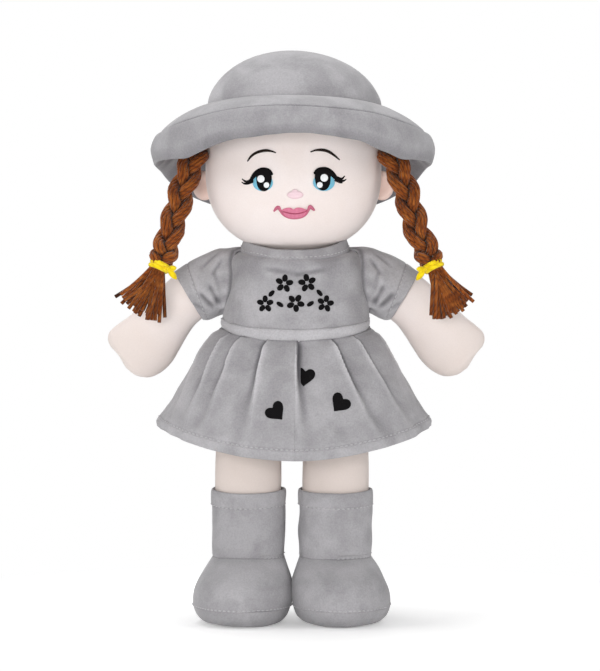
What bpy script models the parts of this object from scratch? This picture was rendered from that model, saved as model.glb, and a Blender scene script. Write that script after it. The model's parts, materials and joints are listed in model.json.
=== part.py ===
"""A rag doll in a plush dress, with a padded hat, two yarn braids and soft boots.

The doll stands on the floor at Z = 0 and faces -Y. Left and right are as seen in its picture:
left pieces lie at -X. Angles round a piece start at its front, so 0 is -Y and 90 degrees is +X.
"""

import math

import bmesh
import bpy
import numpy as np

MM = 0.001

# Cloth, thread and the air between pieces
GAP = 0.3 * MM
SKIN_CLOTH = 1.4 * MM
PLUSH = 1.8 * MM
THREAD_RISE = 0.9 * MM
OVERRUN = 30 * MM

# Torso
TORSO_BOTTOM = 183.5 * MM
TORSO_TOP = 257.2 * MM
TORSO_HALF_WIDTH = 48 * MM
TORSO_HALF_DEPTH = 31.5 * MM
NECK_DIP = 5.0 * MM
COLLAR_SHIFT = -1.0 * MM
COLLAR_HALF_WIDTH = 37.6 * MM
COLLAR_HALF_DEPTH = 30.8 * MM
COLLAR_HEIGHT = 4.6 * MM
COLLAR_CLOTH = 2.2 * MM

# Waist and skirt
WAISTBAND_BOTTOM = 199.3 * MM
WAISTBAND_HEIGHT = 10.4 * MM
WAIST_DIP = 5.8 * MM
SKIRT_HALF_WIDTH = 97.6 * MM
SKIRT_HALF_DEPTH = 72 * MM
SKIRT_HEM_SIDE = 137.5 * MM
SKIRT_HEM_FRONT = 117 * MM
SKIRT_HEM_BACK = 122 * MM
SKIRT_CLOTH = 2.0 * MM
PLEAT_COUNT = 14
PLEAT_DEPTH = 2.2 * MM
HEART_SIZE = 12.6 * MM
HEART_PLACES = {
    "heart_top": (5.6 * MM, 173.6 * MM, -8),
    "heart_left": (-14.7 * MM, 150.2 * MM, 40),
    "heart_right": (29.9 * MM, 155.6 * MM, -38),
}

# Head and face
HEAD_SHIFT = -2.4 * MM
HEAD_MIDDLE = 311.5 * MM
HEAD_DROP = 55 * MM
HEAD_RISE = 74 * MM
HEAD_HALF_WIDTH = 60.8 * MM
HEAD_HALF_DEPTH = 50 * MM
HEAD_LOW_POWER = 2.3
HEAD_HIGH_POWER = 3.3
SEAT_SHARE = -0.982
EAR_HALF_HEIGHT = 9 * MM
EAR_HALF_WIDTH = 7 * MM
EAR_HALF_DEPTH = 4 * MM
EAR_PLACE_X = 60 * MM
EAR_PLACE_Y = 6 * MM
EAR_PLACE_Z = 299.3 * MM
EYE_SPACING = 41 * MM
EYE_HALF_WIDTH = 5.6 * MM
EYE_HALF_HEIGHT = 8.3 * MM
EYE_HEIGHT = 305.5 * MM
BROW_SPACING = 42.5 * MM
BROW_HALF_WIDTH = 10.4 * MM
BROW_THICK = 1.8 * MM
BROW_HEIGHT = 325 * MM
BROW_RISE = 7.5 * MM
NOSE_HALF_WIDTH = 5.7 * MM
NOSE_HALF_HEIGHT = 3.8 * MM
NOSE_HEIGHT = 295.9 * MM
MOUTH_HALF_WIDTH = 8.6 * MM
MOUTH_HALF_HEIGHT = 4.2 * MM
MOUTH_HEIGHT = 283.7 * MM
FACE_CENTRE_X = -1.6 * MM

# Hat
HAT_CLOTH = 2.2 * MM
HAT_TOP = 394.8 * MM
CROWN_SEAM = 357.5 * MM
CROWN_TILT = 4.9 * MM
CROWN_HALF_WIDTH = 60 * MM
CROWN_HALF_DEPTH = 53.5 * MM
CROWN_POWER = 1.9
BRIM_HALF_WIDTH = 97 * MM
BRIM_HALF_DEPTH = 86.5 * MM
BRIM_LOW = 279 * MM
BRIM_DROP = 60 * MM
BRIM_BAND = 19 * MM
BRIM_CLOTH = 1.4 * MM
BRIM_WADDING = 2.2 * MM
BRIM_WADDING_INSET = 6 * MM
BRIM_LAYER_GAP = 4 * GAP
BRIM_SEAM_SHARE = 0.35
BRIM_EDGE_SHARE = 0.7
RIDGE_SHARE = 0.945
BRIM_SEAM_DROP = BRIM_SEAM_SHARE * (BRIM_WADDING / 2 + BRIM_LAYER_GAP + BRIM_CLOTH) + 3 * GAP

# Braids
BRAID_END_SHIFT = -0.4 * MM
BRAID_ROOT_X = 66 * MM
BRAID_ROOT_Y = -12 * MM
BRAID_ROOT_Z = 330.5 * MM
ROOT_RADIUS = 8.4 * MM
BRAID_END_X = 92 * MM
BRAID_END_Y = -32.5 * MM
BRAID_END_Z = 252.3 * MM
BRAID_BOW = 1.0 * MM
STRAND_RADIUS = 2.4 * MM
STRAND_RISE_SHARE = 0.8
BRAID_SWAY = 7.2 * MM
BRAID_WEAVE = 4.8 * MM
BRAID_TURNS = 2
TIE_HEIGHT = 6.2 * MM
TIE_HALF_WIDTH = 8.4 * MM
TIE_HALF_DEPTH = 7.2 * MM
TIE_THICK = 2.4 * MM
KNOT_RADIUS = 3.4 * MM
TASSEL_LENGTH = 33 * MM
TASSEL_HALF_WIDTH = 17.5 * MM
TASSEL_HALF_DEPTH = 6.5 * MM
TASSEL_LEAN = 29

# Arms and sleeves
SHOULDER_HEIGHT = 236.5 * MM
SHOULDER_Y = 6 * MM
ARM_ROOT_RADIUS = 16.2 * MM
ARM_SLOPE = 47.5
ARM_LENGTH = 81 * MM
ARM_HALF_WIDTH = 23 * MM
ARM_HALF_DEPTH = 14.5 * MM
ARMHOLE_RADIUS = 15 * MM
SLEEVE_CLOTH = 2.0 * MM
SLEEVE_EASE = 0.8 * MM
SLEEVE_PUFF = 2.6 * MM
SLEEVE_SEAM_LOW_X = 51.2 * MM
SLEEVE_SEAM_LOW_Z = 215 * MM
SLEEVE_SEAM_HIGH_X = 44.8 * MM
SLEEVE_SEAM_HIGH_Z = 257 * MM
SLEEVE_SEAM_GAP = 0.9 * MM
SLEEVE_FULL = 12 * MM
SLEEVE_OUTER_END = 18 * MM
SLEEVE_INNER_END = 24 * MM

# Legs and boots
LEG_SPACING = 60.2 * MM
LEG_SHIFT = -3.3 * MM
HIP_HEIGHT = 160.5 * MM
LEG_TOP = 182.7 * MM
LEG_HALF_WIDTH = 22.9 * MM
LEG_HALF_DEPTH = 20.5 * MM
BOOT_TOP = 91.5 * MM
CUFF_HEIGHT = 10 * MM
CUFF_HALF_WIDTH = 26.4 * MM
CUFF_HALF_DEPTH = 23.8 * MM
SHAFT_HALF_WIDTH = 25.6 * MM
SHAFT_HALF_DEPTH = 23 * MM
ANKLE_HEIGHT = 45 * MM
BOOT_CLOTH = 2.4 * MM
FOOT_HALF_WIDTH = 33.6 * MM
FOOT_HALF_LENGTH = 42.5 * MM
FOOT_FORWARD = 8 * MM
FOOT_SHIFT = 3.9 * MM
SOLE_HEIGHT = 12 * MM

SIDES = (("left", -1), ("right", 1))

# Points round a section
ROUND_POINTS = 16
FINE_POINTS = 24
SKIRT_POINTS = 56
HEART_POINTS = 24
STEPS_A_TURN = 9
ROOT_LEVELS = 10

# Shares of the height, of the half width and of the half depth, from the bottom up
TORSO_SHARES = (
    (0.000, 0.66, 0.60),
    (0.028, 0.87, 0.83),
    (0.120, 0.985, 0.97),
    (0.220, 1.00, 1.00),
    (0.460, 0.955, 0.985),
    (0.700, 0.905, 0.965),
    (0.870, 0.895, 0.94),
    (0.950, 0.83, 0.88),
    (0.985, 0.705, 0.80),
    (0.995, 0.42, 0.50),
    (1.000, 0.28, 0.37),
)
NECKLINE_COUNT = 2
# Share of the torso's height up to which its sides are walls
WALL_SHARE = 0.87
# A heart's height is a sum of cosines: their shares of its half width
HEART_WAVE_SHARES = (0.8125, -0.3125, -0.125, -0.0625)
# Levels of the head from its seat to its top, as shares of its drop and its rise
HEAD_LOW_SHARES = (SEAT_SHARE, -0.93, -0.84, -0.7, -0.5, -0.25)
HEAD_HIGH_SHARES = (0.0, 0.25, 0.48, 0.67, 0.82, 0.92, 0.98)
# Shares of the arm's length, of its half width, of its half depth, and the sideways shift
ARM_SHARES = (
    (0.15, 0.745, 0.94, 0.072),
    (0.25, 0.787, 0.97, 0.091),
    (0.46, 0.846, 1.00, 0.085),
    (0.67, 0.945, 1.00, 0.041),
    (0.79, 1.010, 0.97, 0.078),
    (0.88, 0.940, 0.86, 0.139),
    (0.945, 0.680, 0.64, 0.050),
    (0.99, 0.260, 0.30, -0.052),
)
# How far each of the sleeve's rings has turned from the armhole towards the arm
SLEEVE_SHARES = (0.0, 0.35, 0.7, 1.0)
# Shares of the way down the skirt, of its flare in width and of its flare in depth
SKIRT_SHARES = (
    (0.00, 0.000, 0.00),
    (0.06, 0.180, 0.13),
    (0.17, 0.325, 0.27),
    (0.33, 0.520, 0.46),
    (0.60, 0.740, 0.70),
    (0.84, 0.925, 0.91),
    (1.00, 1.000, 1.00),
)
# Shares of the way down the leg, of its half width and of its half depth
LEG_SHARES = (
    (0.000, 0.28, 0.20),
    (0.035, 0.62, 0.60),
    (0.110, 0.87, 0.89),
    (0.230, 0.99, 1.00),
    (0.550, 1.00, 1.00),
    (1.000, 0.985, 0.98),
)
# Shares of the foot's height, of its half width, of its half length and of its way forward
FOOT_SHARES = (
    (0.00, 0.955, 0.955, 1.00),
    (0.14, 1.000, 1.000, 1.00),
    (0.36, 0.985, 0.985, 0.97),
    (0.60, 0.905, 0.880, 0.78),
    (0.82, 0.800, 0.680, 0.32),
    (1.00, 0.752, 0.545, 0.05),
)
# Height of the brim's lower edge above its lowest, every 30 degrees from the front round
BRIM_EDGE_SHARES = (0.968, 0.875, 0.675, 0.625, 0.375, 0.09, 0.0)
# How far above the edge the brim's stitched ridge lies, as shares of its band
BRIM_RIDGE_SHARES = (0.95, 1.05, 1.19, 0.89, 0.93, 0.97, 1.0)
# Shares of the tassel's length, of its half width and of its half depth
TASSEL_SHARES = (
    (0.22, 0.33, 0.68),
    (0.45, 0.55, 0.90),
    (0.72, 0.80, 1.00),
    (0.90, 0.97, 0.93),
    (0.98, 0.93, 0.62),
)


def clear_scene():
    for obj in list(bpy.data.objects):
        bpy.data.objects.remove(obj, do_unlink=True)


def new_collection(name):
    collection = bpy.data.collections.new(name)
    bpy.context.scene.collection.children.link(collection)
    return collection


def cloth(name, red, green, blue, roughness=0.9):
    """A plain material of one colour, given as linear shares."""
    material = bpy.data.materials.new(name)
    material.use_nodes = True
    shader = material.node_tree.nodes["Principled BSDF"]
    shader.inputs["Base Color"].default_value = (red, green, blue, 1)
    shader.inputs["Roughness"].default_value = roughness
    return material


clear_scene()
PARTS = new_collection("rag_doll")
CUTTERS = new_collection("cutters")
PLUSH_GREY = cloth("grey_plush", 0.38, 0.37, 0.385)
SKIN_CREAM = cloth("cream_velour", 0.82, 0.73, 0.68)
EAR_PINK = cloth("pink_velour", 0.74, 0.55, 0.49)
WADDING = cloth("white_wadding", 0.86, 0.86, 0.84)
YARN_BROWN = cloth("brown_yarn", 0.21, 0.06, 0.012)
YARN_YELLOW = cloth("yellow_yarn", 0.86, 0.65, 0.02)
THREAD_BLACK = cloth("black_thread", 0.012, 0.011, 0.011, 0.5)
THREAD_PINK = cloth("pink_thread", 0.62, 0.19, 0.31, 0.5)
THREAD_PALE = cloth("pale_pink_thread", 0.8, 0.55, 0.6, 0.5)


def mesh_object(name, points, faces, material, cutter=False):
    """One closed mesh object with its faces turned outwards, shaded smooth."""
    mesh = bpy.data.meshes.new(name)
    mesh.from_pydata([tuple(point) for point in points], [], faces)
    work = bmesh.new()
    work.from_mesh(mesh)
    bmesh.ops.recalc_face_normals(work, faces=work.faces)
    work.to_mesh(mesh)
    work.free()
    mesh.shade_smooth()
    obj = bpy.data.objects.new(name, mesh)
    if cutter:
        obj.hide_render = True
        obj.display_type = "WIRE"
        CUTTERS.objects.link(obj)
    else:
        mesh.materials.append(material)
        PARTS.objects.link(obj)
    return obj


def loft(name, rings, material=None, cutter=False):
    """A closed body through rings of equal count, each end closed round its middle point."""
    count = len(rings[0])
    points = [point for ring in rings for point in ring]
    points.append(np.mean(rings[0], axis=0))
    points.append(np.mean(rings[-1], axis=0))
    first_middle = len(points) - 2
    faces = ring_faces(len(rings), count)
    last_row = (len(rings) - 1) * count
    for i in range(count):
        j = (i + 1) % count
        faces.append((first_middle, j, i))
        faces.append((first_middle + 1, last_row + i, last_row + j))
    return mesh_object(name, points, faces, material, cutter)


def ring_faces(rows, count):
    faces = []
    for row in range(rows - 1):
        for i in range(count):
            j = (i + 1) % count
            low = row * count
            high = low + count
            faces.append((low + i, low + j, high + j, high + i))
    return faces


def cup(name, outer, inner, material):
    """A bag with a wall: outer rings from its mouth to its far end, and inner rings likewise."""
    count = len(outer[0])
    rings = list(outer) + list(inner)[::-1]
    points = [point for ring in rings for point in ring]
    points.append(np.mean(outer[-1], axis=0))
    points.append(np.mean(inner[-1], axis=0))
    outer_middle = len(points) - 2
    faces = ring_faces(len(outer), count)
    start = len(outer) * count
    faces += [tuple(start + k for k in face) for face in ring_faces(len(inner), count)]
    outer_end = (len(outer) - 1) * count
    mouth_inner = (len(rings) - 1) * count
    for i in range(count):
        j = (i + 1) % count
        faces.append((outer_end + i, outer_end + j, outer_middle))
        faces.append((start + j, start + i, outer_middle + 1))
        faces.append((i, mouth_inner + i, mouth_inner + j, j))
    return mesh_object(name, points, faces, material)


def tube(name, outer, inner, material):
    """A band with a wall, open at both ends: outer and inner rings run the same way."""
    rings = list(outer) + list(inner)[::-1]
    count = len(outer[0])
    points = [point for ring in rings for point in ring]
    faces = ring_faces(len(rings), count)
    last_row = (len(rings) - 1) * count
    for i in range(count):
        j = (i + 1) % count
        faces.append((last_row + i, last_row + j, j, i))
    return mesh_object(name, points, faces, material)


def strip(name, sections, material):
    """A body carried through closed sections, with each end closed by its section."""
    count = len(sections[0])
    points = [point for section in sections for point in section]
    faces = ring_faces(len(sections), count)
    half = count // 2
    last_row = (len(sections) - 1) * count
    for row in (0, last_row):
        for i in range(half - 1):
            faces.append((row + i, row + i + 1, row + count - 2 - i, row + count - 1 - i))
    return mesh_object(name, points, faces, material)


def ring(centre, half_width, half_depth, count=ROUND_POINTS, dip=0.0):
    """A level ellipse round a centre; its front lies lower by the dip."""
    turn = np.arange(count) * 2 * math.pi / count
    x = centre[0] + half_width * np.sin(turn)
    y = centre[1] - half_depth * np.cos(turn)
    z = centre[2] - dip * ((1 + np.cos(turn)) / 2) ** 2
    return np.stack([x, y, z * np.ones(count)], axis=1)


def cut(obj, cutter, operation="DIFFERENCE"):
    modifier = obj.modifiers.new(cutter.name, "BOOLEAN")
    modifier.operation = operation
    modifier.solver = "EXACT"
    modifier.object = cutter


def superellipse(share, power):
    return (1 - abs(share) ** power) ** (1 / power)


# Torso


def torso_rings(offset=0.0, first=0, last=len(TORSO_SHARES), top=None, count=ROUND_POINTS):
    """Rings of the torso, grown outwards by an offset, with the neckline dipping in front."""
    height = TORSO_TOP - TORSO_BOTTOM
    rings = []
    for i, (level, width, depth) in enumerate(TORSO_SHARES[first:last], first):
        z = TORSO_BOTTOM + level * height
        if level == 0:
            z -= offset
        if level > 0.9:
            z += offset
        if top is not None and i == last - 1:
            z = top
        dip = NECK_DIP * max(0.0, level - 0.8) * 5 if level < 0.99 else 0.0
        rings.append(
            ring(
                (0, 0, z),
                TORSO_HALF_WIDTH * width + offset,
                TORSO_HALF_DEPTH * depth + offset,
                count,
                dip,
            )
        )
    return rings


def torso_reach(y, z, offset=0.0):
    """How far the torso, grown by an offset, reaches sideways at a depth and a height."""
    level = (z - TORSO_BOTTOM) / (TORSO_TOP - TORSO_BOTTOM)
    levels, widths, depths = zip(*TORSO_SHARES)
    width = TORSO_HALF_WIDTH * np.interp(level, levels, widths) + offset
    depth = TORSO_HALF_DEPTH * np.interp(level, levels, depths) + offset
    return width * np.sqrt(np.maximum(0.0, 1 - (y / depth) ** 2))


def make_torso():
    seat = TORSO_TOP - GAP
    outer = torso_rings(top=seat)[::-1]
    inner = torso_rings(-SKIN_CLOTH, top=seat)[::-1]
    cup("torso_skin", outer, inner, SKIN_CREAM)
    filling = torso_rings(-SKIN_CLOTH - GAP, top=seat - SKIN_CLOTH, count=ROUND_POINTS // 2)
    loft("torso_stuffing", filling, WADDING)


def make_bodice():
    neckline = len(TORSO_SHARES) - NECKLINE_COUNT
    outer = torso_rings(GAP + PLUSH, 3, neckline)
    inner = torso_rings(GAP, 3, neckline)
    bodice = tube("bodice", outer, inner, PLUSH_GREY)
    half = TORSO_HALF_WIDTH
    for side, sign in SIDES:
        turn = np.arange(ROUND_POINTS) * 2 * math.pi / ROUND_POINTS
        y = SHOULDER_Y + ARMHOLE_RADIUS * np.cos(turn)
        z = SHOULDER_HEIGHT + ARMHOLE_RADIUS * np.sin(turn)
        ends = [
            np.stack([np.full(ROUND_POINTS, sign * x), y, z], axis=1)
            for x in (half / 2, half + OVERRUN)
        ]
        cut(bodice, loft("armhole_" + side, ends, cutter=True))


def make_collar():
    lip_level = TORSO_SHARES[-1 - NECKLINE_COUNT][0]
    bottom = TORSO_BOTTOM + lip_level * (TORSO_TOP - TORSO_BOTTOM) + 2 * GAP + PLUSH
    middle = (COLLAR_SHIFT, 0)
    outer, inner = [], []
    for level in (bottom, bottom + COLLAR_HEIGHT):
        outer.append(ring((*middle, level), COLLAR_HALF_WIDTH, COLLAR_HALF_DEPTH, dip=NECK_DIP))
        inner.append(
            ring(
                (*middle, level),
                COLLAR_HALF_WIDTH - COLLAR_CLOTH,
                COLLAR_HALF_DEPTH - COLLAR_CLOTH,
                dip=NECK_DIP,
            )
        )
    tube("collar_band", outer, inner, PLUSH_GREY)


def make_waistband():
    inner_width = TORSO_HALF_WIDTH + PLUSH + 2 * GAP
    inner_depth = TORSO_HALF_DEPTH + PLUSH + 2 * GAP
    outer, inner = [], []
    for level in (WAISTBAND_BOTTOM, WAISTBAND_BOTTOM + WAISTBAND_HEIGHT):
        place = (0, 0, level)
        outer.append(ring(place, inner_width + PLUSH, inner_depth + PLUSH, dip=WAIST_DIP))
        inner.append(ring(place, inner_width, inner_depth, dip=WAIST_DIP))
    tube("waistband", outer, inner, PLUSH_GREY)


# Skirt


def skirt_hem(turn):
    """Height of the hem at an angle from the front: lowest in front, highest at the sides."""
    lowest = np.where(np.cos(turn) > 0, SKIRT_HEM_FRONT, SKIRT_HEM_BACK)
    return SKIRT_HEM_SIDE + (lowest - SKIRT_HEM_SIDE) * np.cos(turn) ** 2


def skirt_layer(turn, offset):
    """Points of the skirt at one angle, from the waist down, moved outwards by an offset."""
    top_width = TORSO_HALF_WIDTH + SKIRT_CLOTH + 3 * GAP
    top_depth = TORSO_HALF_DEPTH + SKIRT_CLOTH + 3 * GAP
    top = WAISTBAND_BOTTOM - GAP - WAIST_DIP * ((1 + math.cos(turn)) / 2) ** 2
    points = []
    for down, width, depth in SKIRT_SHARES:
        pleat = PLEAT_DEPTH * min(1.0, 0.35 + down) * math.cos(PLEAT_COUNT * turn)
        reach_x = top_width + (SKIRT_HALF_WIDTH - top_width) * width + offset + pleat
        reach_y = top_depth + (SKIRT_HALF_DEPTH - top_depth) * depth + offset + pleat
        z = top + (float(skirt_hem(turn)) - top) * down
        points.append((reach_x * math.sin(turn), -reach_y * math.cos(turn), z))
    return points


def skirt_sections(sign, low, high):
    """Closed sections of one half of the skirt between two offsets, from front to back."""
    edge = GAP / SKIRT_HALF_DEPTH
    turns = np.linspace(edge, math.pi - edge, SKIRT_POINTS // 2 + 1) * sign
    return [np.array(skirt_layer(t, high) + skirt_layer(t, low)[::-1]) for t in turns]


def heart_ring(place, y, grow=1.0):
    """The outline of a heart, seen from the front, at one depth."""
    turn = np.arange(HEART_POINTS) * 2 * math.pi / HEART_POINTS
    x = np.sin(turn) ** 3
    z = sum(share * np.cos(k * turn) for k, share in enumerate(HEART_WAVE_SHARES, 1))
    unit = HEART_SIZE * grow / 2
    lean = math.radians(place[2])
    along = x * math.cos(lean) - z * math.sin(lean)
    up = x * math.sin(lean) + z * math.cos(lean)
    flat = np.full(HEART_POINTS, y)
    return np.stack([place[0] + along * unit, flat, place[1] + up * unit], axis=1)


def make_skirt():
    for side, sign in SIDES:
        strip("skirt_" + side, skirt_sections(sign, -SKIRT_CLOTH, 0.0), PLUSH_GREY)
    for name, place in HEART_PLACES.items():
        sign = 1 if place[0] > 0 else -1
        heart = strip(name, skirt_sections(sign, GAP, GAP + THREAD_RISE), THREAD_BLACK)
        prism = [heart_ring(place, -SKIRT_HALF_DEPTH - OVERRUN), heart_ring(place, -GAP)]
        cut(heart, loft(name + "_outline", prism, cutter=True), "INTERSECT")


# Head


def head_rings(offset=0.0, count=FINE_POINTS):
    """Rings of the head from its flat seat to its top, grown outwards by an offset."""
    rings = []
    for share in HEAD_LOW_SHARES + HEAD_HIGH_SHARES:
        low = share < 0
        reach = (HEAD_DROP if low else HEAD_RISE) + offset
        swell = superellipse(share, HEAD_LOW_POWER if low else HEAD_HIGH_POWER)
        z = HEAD_MIDDLE + share * reach
        width = (HEAD_HALF_WIDTH + offset) * swell
        depth = (HEAD_HALF_DEPTH + offset) * swell
        rings.append(ring((HEAD_SHIFT, 0, z), width, depth, count))
    return rings


def head_seat():
    return HEAD_MIDDLE + SEAT_SHARE * HEAD_DROP


def level_first(rings, z):
    """The same rings with the first one brought to a level."""
    rings[0][:, 2] = z
    return rings


def make_head():
    outer = head_rings()
    inner = level_first(head_rings(-SKIN_CLOTH), head_seat())
    cup("head_skin", outer, inner, SKIN_CREAM)
    filling = head_rings(-SKIN_CLOTH - GAP, FINE_POINTS // 2)
    loft("head_stuffing", level_first(filling, head_seat() + SKIN_CLOTH), WADDING)


def ball_rings(centre, halves, count=ROUND_POINTS, levels=8):
    rings = []
    for i in range(1, levels):
        tilt = math.pi * i / levels
        z = centre[2] - halves[2] * math.cos(tilt)
        swell = math.sin(tilt)
        rings.append(ring((centre[0], centre[1], z), halves[0] * swell, halves[1] * swell, count))
    return rings


def make_ears(clear_head):
    for side, sign in SIDES:
        centre = (HEAD_SHIFT + sign * EAR_PLACE_X, EAR_PLACE_Y, EAR_PLACE_Z)
        halves = (EAR_HALF_WIDTH, EAR_HALF_DEPTH, EAR_HALF_HEIGHT)
        ear = loft("ear_" + side, ball_rings(centre, halves, 16, 6), EAR_PINK)
        cut(ear, clear_head)


def face_patch(name, outline, material, clear_head, raised_head, body=loft):
    """Stitching on the face: an outline seen from the front, laid on the curve of the head."""
    back = np.array([(x, -HEAD_HALF_DEPTH / 4, z) for x, z in outline])
    front = np.array([(x, -HEAD_HALF_DEPTH - OVERRUN, z) for x, z in outline])
    patch = body(name, [front, back], material)
    cut(patch, raised_head, "INTERSECT")
    cut(patch, clear_head)


def oval(centre_x, centre_z, half_width, half_height, count=20):
    turns = np.arange(count) * 2 * math.pi / count
    return [
        (centre_x + half_width * math.cos(t), centre_z + half_height * math.sin(t)) for t in turns
    ]


def brow_outline(centre_x, points=9):
    """A thin arch that tapers to both ends."""
    shares = np.linspace(-1, 1, points)
    upper, lower = [], []
    for share in shares:
        x = centre_x + BROW_HALF_WIDTH * share
        z = BROW_HEIGHT - BROW_RISE * share**2
        half = BROW_THICK / 2 * (1.1 - share**2)
        upper.append((x, z + half))
        lower.append((x, z - half))
    return upper + lower[::-1]


def lips_outline(points=10):
    """Two lips as one outline, with a dip in the middle of the upper one."""
    turns = np.arange(2 * points) * math.pi / points
    outline = []
    for turn in turns:
        dip = 0.28 * math.exp(-((math.cos(turn) / 0.3) ** 2)) if math.sin(turn) > 0 else 0.0
        height = math.sin(turn) * (1 - dip) * (1 if math.sin(turn) < 0 else 0.8)
        outline.append(
            (
                FACE_CENTRE_X + MOUTH_HALF_WIDTH * math.cos(turn),
                MOUTH_HEIGHT + MOUTH_HALF_HEIGHT * height,
            )
        )
    return outline


def make_face(clear_head, raised_head):
    heads = (clear_head, raised_head)
    for side, sign in SIDES:
        eye_x = FACE_CENTRE_X + sign * EYE_SPACING / 2
        eye = oval(eye_x, EYE_HEIGHT, EYE_HALF_WIDTH, EYE_HALF_HEIGHT)
        face_patch("eye_" + side, eye, THREAD_BLACK, *heads)
        brow = brow_outline(FACE_CENTRE_X + sign * BROW_SPACING / 2)
        face_patch("brow_" + side, brow, THREAD_BLACK, *heads, body=strip)
    nose = oval(FACE_CENTRE_X, NOSE_HEIGHT, NOSE_HALF_WIDTH, NOSE_HALF_HEIGHT)
    face_patch("nose", nose, THREAD_PALE, *heads)
    face_patch("mouth", lips_outline(), THREAD_PINK, *heads)


# Hat


def around(values, turn):
    """A value every 30 degrees from the front to the back, eased between and alike on both sides."""
    place = abs((turn + math.pi) % (2 * math.pi) - math.pi) / math.pi * (len(values) - 1)
    low = min(int(place), len(values) - 2)
    straight = place - low
    rounded = (1 - math.cos(math.pi * straight)) / 2
    ease = (rounded + straight) / 2
    return values[low] + (values[low + 1] - values[low]) * ease


def crown_seam(turn):
    return CROWN_SEAM + CROWN_TILT * math.cos(turn)


def crown_rings(inset=0.0):
    """Rings of the crown's dome from its seam up, moved inwards by an inset."""
    turns = np.arange(FINE_POINTS) * 2 * math.pi / FINE_POINTS
    rings = []
    for share in (0.0, 0.25, 0.45, 0.62, 0.77, 0.89, 0.96):
        swell = superellipse(share, CROWN_POWER)
        points = []
        for turn in turns:
            seam = crown_seam(turn)
            x = HEAD_SHIFT + (CROWN_HALF_WIDTH - inset) * swell * math.sin(turn)
            y = -(CROWN_HALF_DEPTH - inset) * swell * math.cos(turn)
            points.append((x, y, seam + (HAT_TOP - inset - seam) * share))
        rings.append(np.array(points))
    return rings


def brim_line(turn):
    """Points of the brim's middle surface at one angle, from the crown's seam to the edge."""
    edge_z = BRIM_LOW + BRIM_DROP * around(BRIM_EDGE_SHARES, turn)
    ridge_z = edge_z + BRIM_BAND * around(BRIM_RIDGE_SHARES, turn)
    rim = HAT_CLOTH / 2
    seam_z = crown_seam(turn) - BRIM_SEAM_DROP
    seam = np.array([CROWN_HALF_WIDTH - rim, CROWN_HALF_DEPTH - rim, seam_z])
    ridge = np.array([BRIM_HALF_WIDTH * RIDGE_SHARE, BRIM_HALF_DEPTH * RIDGE_SHARE, ridge_z])
    edge = np.array([BRIM_HALF_WIDTH, BRIM_HALF_DEPTH, edge_z])
    shelf = (seam + ridge) / 2 + np.array([0, 0, BRIM_BAND * 0.18])
    band = (ridge + edge) / 2 + np.array([BRIM_CLOTH, BRIM_CLOTH, 0])
    return [seam, shelf, ridge, band, edge]


def brim_section(turn, low, high, inset):
    """A closed section of one brim layer, between two offsets from the middle surface."""
    way = np.array([math.sin(turn), -math.cos(turn), 1])
    line = np.array(brim_line(turn)) * way
    line[0] = moved_towards(line[0], line[1], inset)
    line[-1] = moved_towards(line[-1], line[-2], inset)
    outwards = line * np.array([1, 1, 0])
    outwards /= np.linalg.norm(outwards, axis=1)[:, None]
    reach = np.stack([np.hypot(line[:, 0], line[:, 1]), line[:, 2]], axis=1)
    step = np.gradient(reach, axis=0)
    step /= np.linalg.norm(step, axis=1)[:, None]
    normal = outwards * -step[:, 1:] + np.array([0, 0, 1]) * step[:, :1]
    normal *= np.array([BRIM_SEAM_SHARE, 1, 1, 1, BRIM_EDGE_SHARE])[:, None]
    line[:, 0] += HEAD_SHIFT
    return np.concatenate([line + normal * high, (line + normal * low)[::-1]])


def moved_towards(point, other, distance):
    way = other - point
    return point + way / np.linalg.norm(way) * distance


def brim_layer(name, low, high, inset, material):
    turns = np.arange(FINE_POINTS) * 2 * math.pi / FINE_POINTS
    sections = [brim_section(turn, low, high, inset) for turn in turns]
    count = len(sections[0])
    points = [point for section in sections for point in section]
    faces = ring_faces(len(sections), count)
    last_row = (len(sections) - 1) * count
    for i in range(count):
        j = (i + 1) % count
        faces.append((last_row + i, last_row + j, j, i))
    mesh_object(name, points, faces, material)


def make_hat():
    cup("hat_crown", crown_rings(), crown_rings(HAT_CLOTH), PLUSH_GREY)
    half = BRIM_WADDING / 2
    brim_layer("brim_wadding", -half, half, BRIM_WADDING_INSET, WADDING)
    near = half + BRIM_LAYER_GAP
    brim_layer("brim_upper", near, near + BRIM_CLOTH, 0, PLUSH_GREY)
    brim_layer("brim_under", -near - BRIM_CLOTH, -near, 0, PLUSH_GREY)


# Braids


def braid_root(sign):
    """Where a braid is sewn to the head, on its joint's axis."""
    return np.array([HEAD_SHIFT + sign * BRAID_ROOT_X, BRAID_ROOT_Y, BRAID_ROOT_Z])


def braid_middle(share, sign):
    """The middle of a braid at a share of its length, from its root down to its tie."""
    x = BRAID_ROOT_X + (BRAID_END_X - BRAID_ROOT_X) * share
    x += BRAID_BOW * math.sin(math.pi * share)
    y = BRAID_ROOT_Y + (BRAID_END_Y - BRAID_ROOT_Y) * share
    top = BRAID_ROOT_Z - ROOT_RADIUS - GAP - STRAND_RADIUS * STRAND_RISE_SHARE
    z = top + (BRAID_END_Z - top) * share
    shift = HEAD_SHIFT + (BRAID_END_SHIFT - HEAD_SHIFT) * share
    return np.array([shift + sign * x, y, z])


def strand_points(sign, phase):
    points = []
    steps = BRAID_TURNS * STEPS_A_TURN
    for i in range(steps + 1):
        share = i / steps
        turn = 2 * math.pi * (BRAID_TURNS * share + phase / 3)
        sway = -sign * BRAID_SWAY * math.sin(turn)
        weave = BRAID_WEAVE * math.sin(2 * turn)
        points.append(braid_middle(share, sign) + np.array([sway, weave, 0]))
    return points


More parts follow.
